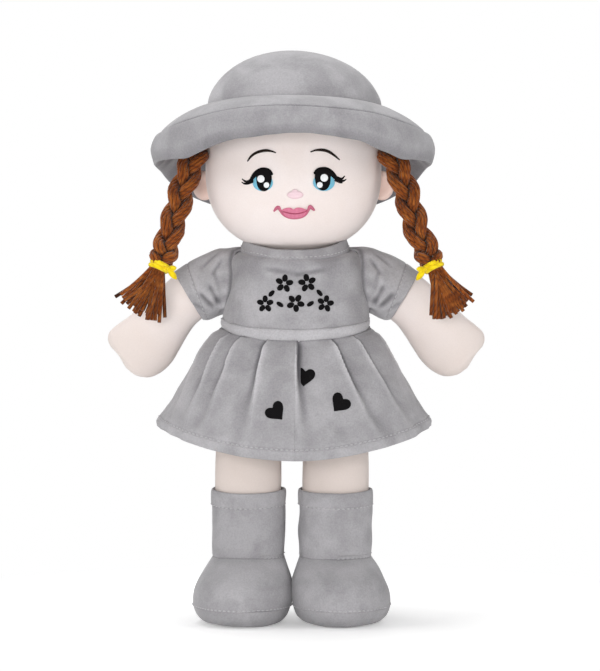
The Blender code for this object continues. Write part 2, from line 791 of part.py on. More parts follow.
def yarn(name, points, radius, material):
    """A round strand of yarn along points."""
    curve = bpy.data.curves.new(name, "CURVE")
    curve.dimensions = "3D"
    curve.bevel_depth = radius
    curve.bevel_resolution = 1
    curve.use_fill_caps = True
    spline = curve.splines.new("POLY")
    spline.points.add(len(points) - 1)
    for spot, point in zip(spline.points, points):
        spot.co = (*point, 1)
    obj = bpy.data.objects.new(name, curve)
    curve.materials.append(material)
    PARTS.objects.link(obj)


def make_braid(side, sign):
    for phase in range(3):
        name = f"braid_{side}_strand_{phase + 1}"
        yarn(name, strand_points(sign, phase), STRAND_RADIUS, YARN_BROWN)
    end = braid_middle(1, sign)
    top = end[2] - STRAND_RADIUS - GAP
    centre = (end[0], end[1], top)
    make_tie(side, sign, centre)
    make_tassel(side, sign, centre)


def make_tie(side, sign, centre):
    outer, inner = [], []
    for level, grow in ((0, -0.35), (0.2, 0), (0.8, 0), (1, -0.35)):
        place = (centre[0], centre[1], centre[2] - TIE_HEIGHT * level)
        swell = TIE_THICK * grow
        outer.append(ring(place, TIE_HALF_WIDTH + swell, TIE_HALF_DEPTH + swell, 16))
        inner.append(ring(place, TIE_HALF_WIDTH - TIE_THICK, TIE_HALF_DEPTH - TIE_THICK, 16))
    tube(f"braid_{side}_tie", outer, inner, YARN_YELLOW)
    turn = math.radians(40)
    spot = (
        centre[0] - sign * (TIE_HALF_WIDTH + KNOT_RADIUS + GAP) * math.sin(turn),
        centre[1] - (TIE_HALF_DEPTH + KNOT_RADIUS + GAP) * math.cos(turn),
        centre[2] - TIE_HEIGHT / 2,
    )
    halves = (KNOT_RADIUS, KNOT_RADIUS * 0.85, KNOT_RADIUS)
    loft(f"braid_{side}_knot", ball_rings(spot, halves, 12, 6), YARN_YELLOW)


def make_tassel(side, sign, centre):
    """A flat fan of loose yarn that starts inside the tie and hangs outwards."""
    lean = math.radians(TASSEL_LEAN)
    neck_width = TIE_HALF_WIDTH - TIE_THICK - GAP
    neck_depth = TIE_HALF_DEPTH - TIE_THICK - GAP
    rings = [
        ring((centre[0], centre[1], centre[2] - GAP), neck_width * 0.9, neck_depth * 0.9, 16),
        ring((centre[0], centre[1], centre[2] - TIE_HEIGHT), neck_width, neck_depth, 16),
    ]
    turn = np.arange(16) * 2 * math.pi / 16
    start = np.array([centre[0], centre[1], centre[2] - TIE_HEIGHT - GAP])
    down = np.array([sign * math.sin(lean), 0, -math.cos(lean)])
    across = np.array([math.cos(lean), 0, sign * math.sin(lean)])
    for along, width, depth in TASSEL_SHARES:
        middle = start + down * TASSEL_LENGTH * along
        wide = TASSEL_HALF_WIDTH * width * np.sin(turn)[:, None] * across
        deep = -TASSEL_HALF_DEPTH * depth * np.cos(turn)[:, None] * np.array([0, 1, 0])
        rings.append(middle + wide + deep)
    loft(f"braid_{side}_tassel", rings, YARN_BROWN)


def make_braids(clear_head):
    for side, sign in SIDES:
        halves = (ROOT_RADIUS, ROOT_RADIUS, ROOT_RADIUS)
        rings = ball_rings(braid_root(sign), halves, ROUND_POINTS, ROOT_LEVELS)
        root = loft(f"yarn_root_{side}", rings, YARN_BROWN)
        cut(root, clear_head)
        make_braid(side, sign)


# Arms


def shoulder(sign):
    """The middle of an arm's round root, on its joint's axis."""
    side = torso_reach(SHOULDER_Y, SHOULDER_HEIGHT)
    return np.array([sign * (side + GAP + ARM_ROOT_RADIUS), SHOULDER_Y, SHOULDER_HEIGHT])


def arm_rings(sign, offset=0.0, count=ROUND_POINTS):
    """Rings of an arm from its round root to the tip of its hand, grown by an offset."""
    down, upper = arm_ways(sign)
    depth_way = np.array([0, 1, 0])
    turn = np.arange(count) * 2 * math.pi / count
    root = shoulder(sign)
    rings = []
    sections = []
    for share in (-0.97, -0.8, -0.5, -0.15):
        swell = math.sqrt(1 - share**2)
        reach = (ARM_ROOT_RADIUS + offset) * swell
        depth = (ARM_HALF_DEPTH * 0.92 + offset) * swell
        sections.append(((ARM_ROOT_RADIUS + offset) * share, reach, depth, 0))
    for share, width, depth, shift in ARM_SHARES:
        along = ARM_LENGTH * share + (offset if share > 0.9 else 0)
        wide = ARM_HALF_WIDTH * width + offset
        deep = ARM_HALF_DEPTH * depth + offset
        sections.append((along, wide, deep, ARM_HALF_WIDTH * shift))
    for along, wide, deep, shift in sections:
        middle = root + down * along + upper * shift
        across = wide * np.cos(turn)[:, None] * upper
        through = deep * np.sin(turn)[:, None] * depth_way
        rings.append(middle + across + through)
    return rings


def make_arm(side, sign):
    skin_inner = arm_rings(sign, -SKIN_CLOTH)
    outer = arm_rings(sign)
    cup(f"arm_{side}_skin", outer, flatten_first(skin_inner, outer), SKIN_CREAM)
    filling = arm_rings(sign, -SKIN_CLOTH - GAP, ROUND_POINTS // 2)
    loft(f"arm_{side}_stuffing", filling, WADDING)


def flatten_first(inner, outer):
    """Inner rings whose first one lies in the plane of the outer rings' mouth."""
    move = np.mean(outer[0], axis=0) - np.mean(inner[0], axis=0)
    return [inner[0] + move] + list(inner[1:])


def arm_ways(sign):
    """Down the arm, and across it towards its upper side."""
    slope = math.radians(ARM_SLOPE)
    down = np.array([sign * math.cos(slope), 0, -math.sin(slope)])
    upper = np.array([sign * math.sin(slope), 0, math.cos(slope)])
    return down, upper


def sleeve_rings(sign, offset):
    """Rings of a sleeve from its armhole seam to its slanting hem, grown by an offset."""
    down, upper = arm_ways(sign)
    root = shoulder(sign)
    turn = np.arange(ROUND_POINTS) * 2 * math.pi / ROUND_POINTS
    through = np.sin(turn)[:, None] * np.array([0, 1, 0])
    seam_low = np.array([sign * SLEEVE_SEAM_LOW_X, SHOULDER_Y, SLEEVE_SEAM_LOW_Z])
    seam_high = np.array([sign * SLEEVE_SEAM_HIGH_X, SHOULDER_Y, SLEEVE_SEAM_HIGH_Z])
    seam_way = (seam_high - seam_low) / np.linalg.norm(seam_high - seam_low)
    seam_wide = np.linalg.norm(seam_high - seam_low) / 2 - SLEEVE_CLOTH
    seam_deep = ARM_HALF_DEPTH
    arm_wide = ARM_HALF_WIDTH * ARM_SHARES[1][1]
    arm_shift = upper * ARM_HALF_WIDTH * ARM_SHARES[1][3]
    arm_middle = root + arm_shift
    rings = []
    for share in SLEEVE_SHARES:
        way = seam_way * (1 - share) + upper * share
        way = way / np.linalg.norm(way)
        middle = (seam_low + seam_high) / 2 * (1 - share) + (arm_middle + down * SLEEVE_FULL) * share
        puff = SLEEVE_PUFF * math.sin(math.pi * share)
        wide = seam_wide * (1 - share) + arm_wide * share + offset + puff
        deep = seam_deep * (1 - share) + ARM_HALF_DEPTH * share + offset
        rings.append(middle + wide * np.cos(turn)[:, None] * way + deep * through)
    wall_top = TORSO_BOTTOM + WALL_SHARE * (TORSO_TOP - TORSO_BOTTOM)
    seam_z = np.minimum(rings[0][:, 2], wall_top)
    rings[0][:, 0] = sign * torso_reach(rings[0][:, 1], seam_z, PLUSH + SLEEVE_SEAM_GAP)
    outer_end = arm_middle + down * SLEEVE_OUTER_END + upper * (arm_wide + offset)
    inner_end = arm_middle + down * SLEEVE_INNER_END - upper * (arm_wide + offset)
    middle = (outer_end + inner_end) / 2
    half = (outer_end - inner_end) / 2
    rings.append(middle + np.cos(turn)[:, None] * half + (ARM_HALF_DEPTH + offset) * through)
    return rings


def make_sleeve(side, sign):
    outer = sleeve_rings(sign, SLEEVE_EASE + SLEEVE_CLOTH)
    inner = sleeve_rings(sign, SLEEVE_EASE)
    tube(f"sleeve_{side}", outer, inner, PLUSH_GREY)


# Legs and boots


def leg_middle(sign):
    return LEG_SHIFT + sign * LEG_SPACING / 2


def leg_rings(sign, offset, bottom, count=ROUND_POINTS):
    """Rings of a leg from its round top down to a level."""
    rings = []
    span = LEG_TOP - (BOOT_TOP - CUFF_HEIGHT)
    for down, width, depth in LEG_SHARES:
        z = LEG_TOP - span * down
        if down == 0:
            z += offset
        if down == 1:
            z = bottom
        place = (leg_middle(sign), 0, z)
        half_width = LEG_HALF_WIDTH * width + offset
        half_depth = LEG_HALF_DEPTH * depth + offset
        rings.append(ring(place, half_width, half_depth, count))
    return rings


def make_leg(side, sign):
    seam = BOOT_TOP - CUFF_HEIGHT
    outer = leg_rings(sign, 0.0, seam)[::-1]
    inner = leg_rings(sign, -SKIN_CLOTH, seam)[::-1]
    cup(f"leg_{side}_skin", outer, inner, SKIN_CREAM)
    half = ROUND_POINTS // 2
    filling = leg_rings(sign, -SKIN_CLOTH - GAP, seam, half)
    place = (leg_middle(sign), 0, ANKLE_HEIGHT + GAP)
    shrink = BOOT_CLOTH + 2 * GAP
    filling.append(ring(place, SHAFT_HALF_WIDTH - shrink, SHAFT_HALF_DEPTH - shrink, half))
    loft(f"leg_{side}_stuffing", filling, WADDING)


def make_boot(side, sign):
    middle = leg_middle(sign)
    seam = BOOT_TOP - CUFF_HEIGHT
    cuff_rows = ((seam + GAP, 0.97), (seam + CUFF_HEIGHT / 3, 1), (BOOT_TOP, 0.985))
    outer = [ring((middle, 0, z), CUFF_HALF_WIDTH * s, CUFF_HALF_DEPTH * s) for z, s in cuff_rows]
    inner_width = LEG_HALF_WIDTH + GAP
    inner_depth = LEG_HALF_DEPTH + GAP
    inner = [ring((middle, 0, z), inner_width, inner_depth) for z, s in cuff_rows]
    tube(f"boot_{side}_cuff", outer, inner, PLUSH_GREY)
    shaft_rows = ((seam, 0.985), ((seam + ANKLE_HEIGHT) / 2, 1), (ANKLE_HEIGHT + GAP, 0.985))
    outer = [ring((middle, 0, z), SHAFT_HALF_WIDTH * s, SHAFT_HALF_DEPTH * s) for z, s in shaft_rows]
    inner_width = SHAFT_HALF_WIDTH - BOOT_CLOTH
    inner_depth = SHAFT_HALF_DEPTH - BOOT_CLOTH
    inner = [ring((middle, 0, z), inner_width, inner_depth) for z, s in shaft_rows]
    tube(f"boot_{side}_shaft", outer, inner, PLUSH_GREY)
    make_foot(side, sign)


def foot_rings(sign, offset, bottom, top, count=ROUND_POINTS):
    """Rings of a foot from its sole up to its ankle, wider and longer below."""
    rings = []
    for up, width, length, forward in FOOT_SHARES:
        z = bottom + (top - bottom) * up
        x = leg_middle(sign) + sign * FOOT_SHIFT * min(1.0, 1.6 * (1 - up))
        place = (x, -FOOT_FORWARD * forward, z)
        half_width = FOOT_HALF_WIDTH * width + offset
        half_length = FOOT_HALF_LENGTH * length + offset
        rings.append(ring(place, half_width, half_length, count))
    return rings


def make_foot(side, sign):
    bottom = SOLE_HEIGHT + GAP
    outer = foot_rings(sign, 0.0, bottom, ANKLE_HEIGHT)
    inner = foot_rings(sign, -BOOT_CLOTH, bottom, ANKLE_HEIGHT)
    tube(f"boot_{side}_foot", outer, inner, PLUSH_GREY)
    half = ROUND_POINTS // 2
    filling = foot_rings(sign, -BOOT_CLOTH - GAP, bottom + GAP, ANKLE_HEIGHT - GAP, half)
    loft(f"foot_{side}_stuffing", filling, WADDING)
    x = leg_middle(sign) + sign * FOOT_SHIFT
    rows = ((0, 0.80), (0.12, 0.90), (0.45, 0.985), (0.8, 0.985), (1, 0.94))
    rings = []
    for up, size in rows:
        place = (x, -FOOT_FORWARD, SOLE_HEIGHT * up)
        rings.append(ring(place, FOOT_HALF_WIDTH * size, FOOT_HALF_LENGTH * size))
    loft(f"boot_{side}_sole", rings, PLUSH_GREY)


def hang(name, place, owned):
    """Parents the pieces whose names hold one of these words to an empty on their joint's axis."""
    empty = bpy.data.objects.new(name, None)
    empty.location = place
    PARTS.objects.link(empty)
    bpy.context.view_layer.update()
    for obj in list(PARTS.objects):
        if obj.type != "EMPTY" and any(word in obj.name for word in owned):
            obj.parent = empty
            obj.matrix_parent_inverse = empty.matrix_world.inverted()


def hang_all():
    for side, sign in SIDES:
        hang(f"joint_braid_{side}", braid_root(sign), [f"braid_{side}"])
        hang(f"joint_arm_{side}", shoulder(sign), [f"arm_{side}"])
        hip = (leg_middle(sign), 0, HIP_HEIGHT)
        hang(f"joint_leg_{side}", hip, [f"leg_{side}", f"boot_{side}", f"foot_{side}"])
    hang("joint_hat", (HEAD_SHIFT, 0, CROWN_SEAM), ["hat_", "brim_"])
    neck = (HEAD_SHIFT, 0, head_seat())
    hang("joint_head", neck, ["head_", "ear_", "eye_", "brow_", "nose", "mouth", "yarn_root"])


def main():
    make_torso()
    make_bodice()
    make_collar()
    make_waistband()
    make_skirt()
    make_head()
    clear_head = loft("head_clear", head_rings(GAP), cutter=True)
    raised_head = loft("head_raised", head_rings(GAP + THREAD_RISE), cutter=True)
    make_ears(clear_head)
    make_face(clear_head, raised_head)
    make_hat()
    make_braids(clear_head)
    for side, sign in SIDES:
        make_arm(side, sign)
        make_sleeve(side, sign)
        make_leg(side, sign)
        make_boot(side, sign)
    hang_all()


main()
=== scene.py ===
# %% [markdown]
# # A rag doll in a plush hat and dress
#
# This file dresses a plain model of a stuffed doll, made of joined solids, in the surfaces that a
# hand would feel: short-pile plush, velour skin, plied yarn and satin stitches. Each piece is a
# surface worked out with numpy. Either it is a grid of points given by a formula of two numbers, or
# it is a section carried along a path. The solids stay behind it for collision.
#
# Lengths are in metres, and MM turns millimetres into them. The doll faces -Y. Angles round a
# piece start at its front and run towards +X.

# %% Load the frame
import json
import math

import bpy
import numpy as np
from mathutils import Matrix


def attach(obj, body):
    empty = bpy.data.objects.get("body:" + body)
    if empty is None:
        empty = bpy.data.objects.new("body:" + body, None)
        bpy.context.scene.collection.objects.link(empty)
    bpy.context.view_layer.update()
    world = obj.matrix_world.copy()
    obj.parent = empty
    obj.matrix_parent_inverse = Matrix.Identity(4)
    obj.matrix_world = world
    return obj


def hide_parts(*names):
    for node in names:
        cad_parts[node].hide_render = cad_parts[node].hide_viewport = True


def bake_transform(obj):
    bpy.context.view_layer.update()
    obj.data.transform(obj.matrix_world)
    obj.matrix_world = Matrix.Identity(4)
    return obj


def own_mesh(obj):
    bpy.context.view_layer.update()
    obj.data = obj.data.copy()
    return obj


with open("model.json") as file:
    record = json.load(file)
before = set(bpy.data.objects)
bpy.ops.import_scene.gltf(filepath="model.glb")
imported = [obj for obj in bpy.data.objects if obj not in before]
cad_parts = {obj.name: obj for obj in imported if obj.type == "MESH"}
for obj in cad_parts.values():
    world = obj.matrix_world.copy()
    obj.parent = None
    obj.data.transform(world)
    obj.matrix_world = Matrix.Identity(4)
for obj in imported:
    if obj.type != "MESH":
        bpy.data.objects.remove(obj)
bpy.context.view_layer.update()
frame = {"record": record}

MM = 0.001
SIDES = (("left", -1), ("right", 1))
HEAD_X = -2.4 * MM

# %% [markdown]
# ## Camera
#
# The picture was taken from well back, with the lens a little above the doll's middle. A long lens
# from far away keeps the upright lines upright, so the camera stands 2.2 m off and looks down by
# two and a half degrees. The shift only sets where the doll stands in the frame.

# %% The camera at the picture's angle
IMAGE = (600, 671)
DISTANCE = 2200 * MM
ELEVATION = math.radians(2.48)
FOCAL_PIXELS = 3180.6
AIM = np.array([0, 0, 200 * MM])
AIM_PIXEL = (296.3, 332.8)

lens = bpy.data.cameras.new("camera")
camera = bpy.data.objects.new("camera", lens)
bpy.context.scene.collection.objects.link(camera)
bpy.context.scene.camera = camera
camera.location = AIM + DISTANCE * np.array([0, -math.cos(ELEVATION), math.sin(ELEVATION)])
camera.rotation_euler = (math.pi / 2 - ELEVATION, 0, 0)
lens.sensor_fit = "HORIZONTAL"
lens.sensor_width = 36
lens.lens = FOCAL_PIXELS / IMAGE[0] * lens.sensor_width
lens.shift_x = (IMAGE[0] / 2 - AIM_PIXEL[0]) / max(IMAGE)
lens.shift_y = (AIM_PIXEL[1] - IMAGE[1] / 2) / max(IMAGE)
lens.clip_end = 20
print("lens", round(lens.lens, 1), "mm")

# %% [markdown]
# ## Colours and the node helper
#
# Colours are written as they look on a screen, in hex. The renderer works in linear light, so one
# function turns each hex value over. A second function adds a shader node, sets it up and wires it,
# so that a material reads as a short list of steps.


# %% Colour and node helpers
def linear(code):
    """An sRGB hex colour as linear red, green, blue and alpha."""
    share = np.array([int(code[i : i + 2], 16) for i in (1, 3, 5)]) / 255
    low = share / 12.92
    high = ((share + 0.055) / 1.055) ** 2.4
    return (*np.where(share <= 0.04045, low, high), 1.0)


def add(tree, kind, inputs=None, **settings):
    """Adds a node; each named input takes a value or another node's output."""
    made = tree.nodes.new("ShaderNode" + kind)
    for name, value in settings.items():
        setattr(made, name, value)
    for key, value in (inputs or {}).items():
        if isinstance(value, bpy.types.NodeSocket):
            tree.links.new(value, made.inputs[key])
        else:
            made.inputs[key].default_value = value
    return made


def start_material(name, **sockets):
    """A new material with its shader's plain sockets set, such as roughness and sheen."""
    material = bpy.data.materials.new(name)
    material.use_nodes = True
    shader = material.node_tree.nodes["Principled BSDF"]
    for key, value in sockets.items():
        shader.inputs[key.replace("_", " ")].default_value = value
    return material, material.node_tree, shader


def mixed(tree, factor, first, second, blend="MIX"):
    """The output of a colour mix: first where the factor is 0, second where it is 1."""
    made = add(tree, "Mix", data_type="RGBA", blend_type=blend)
    for place, value in ((0, factor), (6, first), (7, second)):
        if isinstance(value, bpy.types.NodeSocket):
            tree.links.new(value, made.inputs[place])
        else:
            made.inputs[place].default_value = value
    return made.outputs[2]


# %% [markdown]
# ## Grey plush and velour
#
# The dress, hat and boots are cut from short-pile plush, a polyester knit whose cut pile stands
# about 1.5 mm tall. Where a hand has brushed the pile one way, it shows a paler or a darker patch,
# two or three centimetres across, with soft edges. The face and limbs are velour, the same knit with
# its pile sheared to half a millimetre, so it looks smooth and only its grain shows. Both scatter
# light at grazing angles, which the shader's sheen gives.
#
# A real pile is finer than a pixel here. Its grain is drawn at 1.1 mm for plush and 0.9 mm for
# velour. The patches are noise of two sizes: the wide ones are what a hand leaves, and the small
# ones, 3.6 times finer, break up their edges.


# %% Pile cloth
FINER = 3.6  # how much smaller the small patches are than the wide ones
PATCH_EDGE = (0.36, 0.64)  # the noise between these two is the soft edge of a patch


def pile_cloth(name, colours, patch, grain, depth, contrast, brushed, sheen):
    """Cloth with a pile: brushed patches of two sizes, and a fine grain in colour and bump.

    Its four colours are the dark and the pale patch, a painted shade and a painted highlight. The
    piece's own attribute paints the shade where it is 1, in creases, hollows and seams, and the
    highlight where it is -1, on ridges. On a few pieces it only makes the cloth a plain tone darker
    or paler.
    """
    dark, pale, painted_shade_colour, raised = (linear(colour) for colour in colours)
    material, tree, shader = start_material(name, Roughness=0.95, Sheen_Weight=sheen)
    shader.inputs["Sheen Roughness"].default_value = 0.5
    shader.inputs["Specular IOR Level"].default_value = 0.1
    place = add(tree, "TexCoord").outputs["Object"]
    wide = add(
        tree, "TexNoise", {"Vector": place, "Scale": 1 / patch, "Detail": 2.0, "Distortion": 0.6}
    )
    small = add(
        tree,
        "TexNoise",
        {"Vector": place, "Scale": FINER / patch, "Detail": 4.0, "Roughness": 0.65, "Distortion": 1.2},
    )
    both = add(
        tree, "MapRange", {"Value": small.outputs[0], "To Min": -brushed / 2, "To Max": brushed / 2}
    )
    both = add(tree, "Math", {0: wide.outputs[0], 1: both.outputs[0]}, operation="ADD")
    spread = add(
        tree,
        "MapRange",
        {"Value": both.outputs[0], "From Min": PATCH_EDGE[0], "From Max": PATCH_EDGE[1]},
    )
    tone = mixed(tree, spread.outputs[0], dark, pale)
    # Painted shade and painted highlight: the attribute mixes in the shade colour above 0 and the highlight
    # colour below 0
    flat = add(tree, "Attribute", attribute_name="painted_shade_and_tone")
    tone = mixed(tree, flat.outputs["Fac"], tone, painted_shade_colour)
    painted_light_share = add(tree, "Math", {0: flat.outputs["Fac"], 1: -1.0}, operation="MULTIPLY")
    tone = mixed(tree, painted_light_share.outputs[0], tone, raised)
    fibres = add(tree, "TexNoise", {"Vector": place, "Scale": 1 / grain, "Detail": 2.0})
    speck = add(
        tree,
        "MapRange",
        {
            "Value": fibres.outputs[0],
            "From Min": 0.3,
            "From Max": 0.7,
            "To Min": 1 - contrast,
            "To Max": 1 + contrast * 0.7,
        },
    )
    shaded = mixed(tree, 1.0, tone, speck.outputs[0], "MULTIPLY")
    tree.links.new(shaded, shader.inputs["Base Color"])
    bump = add(tree, "Bump", {"Height": fibres.outputs[0], "Strength": 0.5, "Distance": depth})
    tree.links.new(bump.outputs[0], shader.inputs["Normal"])
    return material


# Plush cut to 1.5 mm: soft, dull and patchy, with a felt-like edge of light
# Of its four colours the last two are painted: a shade for creases, hollows and seams, and a highlight for
# ridges
PLUSH = pile_cloth(
    "short_pile_plush_grey", ("#9F9DA0", "#B1AFB2", "#68666A", "#D2D0D3"),
    patch=24 * MM, grain=1.1 * MM, depth=0.5 * MM, contrast=0.1, brushed=0.3, sheen=0.25,
)
# Velour sheared to half a millimetre: even and smooth, almost without patches
# Its third colour is painted: the skirt's shadow on the legs. The arms take it too, darker towards the hands
SKIN = pile_cloth(
    "sheared_velour_cream", ("#ECE0DB", "#F0E6E3", "#CDBFB5", "#F6EFEA"),
    patch=45 * MM, grain=0.9 * MM, depth=0.06 * MM, contrast=0.02, brushed=0.2, sheen=0.15,
)
PINK = pile_cloth(
    "sheared_velour_pink", ("#EACFC4", "#F0D9CF", "#C9A99D", "#F6E4DC"),
    patch=30 * MM, grain=0.9 * MM, depth=0.06 * MM, contrast=0.02, brushed=0.2, sheen=0.15,
)
print("cloths:", PLUSH.name, SKIN.name, PINK.name)

# %% [markdown]
# ## Yarn and embroidery thread
#
# The hair is an acrylic yarn of two plies, 2.6 mm thick. Real plies turn once in about 5 mm; they
# are drawn turning once in 9 mm, so that the groove between them shows. The twist is that slanting
# groove, so it follows the yarn's own map: once around is 1 across it, and its length in metres runs
# along it. Loose fibres make the colour uneven.
#
# The face and the hearts are satin stitch: rayon thread laid side by side, which shines along its
# ridges. Real threads lie 0.4 mm apart. They are drawn at 0.9 mm, so that a ridge covers more than
# one pixel.


# %% Twisted yarn
PLIES = 2
FIBRE_LENGTH = 9 * MM  # how far one streak of colour runs along the yarn


def twisted_yarn(name, colours, pitch, strength):
    """Yarn of two plies: a groove winds round it once a pitch, and fibres streak its colour.

    Its four colours are the painted shade in the groove, the body, the fibres that catch the light,
    and a painted shade for what lies deep between strands, where little light comes. The piece's own
    attribute says where that shade goes.
    """
    groove, body, pale, hidden = (linear(colour) for colour in colours)
    material, tree, shader = start_material(name, Roughness=0.85, Sheen_Weight=0.25)
    shader.inputs["Sheen Roughness"].default_value = 0.4
    shader.inputs["Specular IOR Level"].default_value = 0.2
    own = add(tree, "TexCoord").outputs["UV"]
    around = add(tree, "SeparateXYZ", {0: own})
    wound = add(tree, "Math", {0: around.outputs[1], 1: 1 / pitch}, operation="MULTIPLY")
    phase = add(tree, "Math", {0: wound.outputs[0], 1: around.outputs[0]}, operation="ADD")
    wave = add(
        tree, "Math", {0: phase.outputs[0], 1: 2 * math.pi * PLIES}, operation="MULTIPLY"
    )
    ridge = add(tree, "Math", {0: wave.outputs[0]}, operation="SINE")
    drawn = add(tree, "VectorMath", {0: own, 1: (3.0, 1 / FIBRE_LENGTH, 1.0)}, operation="MULTIPLY")
    place = add(
        tree,
        "VectorMath",
        {0: add(tree, "TexCoord").outputs["Object"], 1: (130, 130, 130), 2: drawn.outputs[0]},
        operation="MULTIPLY_ADD",
    )
    fibres = add(tree, "TexNoise", {"Vector": place.outputs[0], "Scale": 1.0, "Detail": 4.0})
    height = add(tree, "Math", {0: ridge.outputs[0], 1: fibres.outputs[0]}, operation="ADD")
    depth = add(tree, "MapRange", {"Value": height.outputs[0], "From Min": -0.7, "From Max": 0.9})
    shade = mixed(tree, depth.outputs[0], groove, body)
    light = add(tree, "MapRange", {"Value": fibres.outputs[0], "From Min": 0.48, "From Max": 0.75})
    colour = mixed(tree, light.outputs[0], shade, pale)
    # Painted shade between the strands, where they cross, and behind the tie
    deep = add(tree, "Attribute", attribute_name="painted_shade_and_tone")
    colour = mixed(tree, deep.outputs["Fac"], colour, hidden)
    tree.links.new(colour, shader.inputs["Base Color"])
    bump = add(tree, "Bump", {"Height": depth.outputs[0], "Strength": strength, "Distance": 0.5 * MM})
    tree.links.new(bump.outputs[0], shader.inputs["Normal"])
    return material


# Bulky acrylic: soft and matt, with a twist that shows as slanting grooves
# The first colour is painted shade in the twist's groove, and the last is painted shade between strands
HAIR = twisted_yarn(
    "plied_acrylic_yarn_brown", ("#66300D", "#884515", "#B0692C", "#1D0B03"), pitch=9 * MM, strength=0.3
)
TIE = twisted_yarn(
    "plied_acrylic_yarn_yellow", ("#E2C20C", "#F4D814", "#F9E23A", "#A88A06"), pitch=12 * MM, strength=0.2
)


# %% Satin stitch
THREAD_SPACING = 0.9 * MM  # drawn coarser than the real 0.4 mm, so that a ridge shows


def satin_thread(name, colour, edge, shine=0.2):
    """Threads laid side by side: ridges along the map's second direction, with a soft shine, and painted
    shade between them in the edge colour.
    """
    material, tree, shader = start_material(name, Roughness=0.7)
    shader.inputs["Specular IOR Level"].default_value = shine
    along = add(tree, "SeparateXYZ", {0: add(tree, "TexCoord").outputs["UV"]}).outputs[1]
    wave = add(tree, "Math", {0: along, 1: 2 * math.pi / THREAD_SPACING}, operation="MULTIPLY")
    ridge = add(tree, "Math", {0: wave.outputs[0]}, operation="SINE")
    height = add(tree, "MapRange", {"Value": ridge.outputs[0], "From Min": -1.0, "From Max": 1.0})
    tone = mixed(tree, height.outputs[0], linear(edge), linear(colour))
    tree.links.new(tone, shader.inputs["Base Color"])
    bump = add(tree, "Bump", {"Height": height.outputs[0], "Strength": 0.6, "Distance": 0.25 * MM})
    tree.links.new(bump.outputs[0], shader.inputs["Normal"])
    return material


# Each thread's second colour is painted shade, for the grooves between its threads
BLACK = satin_thread("rayon_satin_stitch_black", "#100E10", "#060506", shine=0.08)
BROWN_BLACK = satin_thread("rayon_satin_stitch_soft_black", "#2E2521", "#1C1613", shine=0.08)
BLUE = satin_thread("rayon_satin_stitch_blue", "#86C6DC", "#66ADC8")
WHITE = satin_thread("rayon_satin_stitch_white", "#FFFFFF", "#E9EDF0")
ROSE = satin_thread("rayon_satin_stitch_rose", "#E38CA6", "#CE6F8C")
MID_ROSE = satin_thread("rayon_satin_stitch_mid_rose", "#D0788F", "#BB607A")
DEEP_ROSE = satin_thread("rayon_satin_stitch_deep_rose", "#B95874", "#A2465F")
BLUSH = satin_thread("rayon_satin_stitch_blush", "#F4DCE1", "#EACAD2")
SEAM = satin_thread("spun_sewing_thread_grey", "#C9C7CA", "#B3B1B4")
print("threads:", BLACK.name, ROSE.name, SEAM.name)

# %% [markdown]
# ## From a grid of points to a mesh
#
# Every surface below is an array of points in rows and columns. Four neighbours make a face. Where
# the piece runs right round, the last column joins the first, and an end may be closed with a fan
# of triangles. Each corner gets a place on the piece's own map, in metres of cloth, so a thread or
# a twist can follow the surface.


# %% Grid to mesh
def lengths(grid, wrap, loop=False):
    """The map of a grid in metres: mean distance round the columns, and along the rows."""
    if loop:
        grid = np.concatenate([grid, grid[:1]])
    joined = np.concatenate([grid, grid[:, :1]], axis=1) if wrap else grid
    across = np.linalg.norm(np.diff(joined, axis=1), axis=2).mean(axis=0)
    along = np.linalg.norm(np.diff(grid, axis=0), axis=2).mean(axis=1)
    u, v = np.append(0, np.cumsum(across)), np.append(0, np.cumsum(along))
    return np.stack(np.meshgrid(u, v), axis=2)


def grid_parts(grid, wrap=True, caps=(False, False), flip=False, uv=None, loop=False):
    """Points, faces and map corners of one grid.

    Columns close round with wrap and rows with loop. A cap is a fan on the first or last row.
    """
    rows, columns = grid.shape[:2]
    uv = lengths(grid, wrap, loop) if uv is None else uv
    r, c = np.meshgrid(
        np.arange(rows if loop else rows - 1),
        np.arange(columns if wrap else columns - 1),
        indexing="ij",
    )
    below, after = (r + 1) % rows, (c + 1) % columns
    corners = ((r, c, r, c), (r, after, r, c + 1), (below, after, r + 1, c + 1), (below, c, r + 1, c))
    quads = np.stack([i * columns + j for i, j, _, _ in corners], axis=2).reshape(-1, 4)
    marks = np.stack([uv[i, j] for _, _, i, j in corners], axis=2).reshape(-1, 4, 2)
    points = grid.reshape(-1, 3)
    faces, places = [quads], [marks]
    for row, wanted in ((0, caps[0]), (rows - 1, caps[1])):
        if not wanted:
            continue
        middle = len(points)
        points = np.concatenate([points, grid[row].mean(axis=0)[None]])
        k = np.arange(columns)
        edge = row * columns + np.stack([(k + 1) % columns, k])
        fan = np.stack([np.full(columns, middle), *edge], axis=1)
        ends = np.minimum(k + 1, uv.shape[1] - 1)
        centre = np.tile(uv[row].mean(axis=0), (columns, 1))
        spots = np.stack([centre, uv[row, ends], uv[row, k]], axis=1)
        if row:
            fan, spots = fan[:, ::-1], spots[:, ::-1]
        faces.append(fan)
        places.append(spots)
    if flip:
        faces = [f[:, ::-1] for f in faces]
        places = [p[:, ::-1] for p in places]
    return points, faces, places


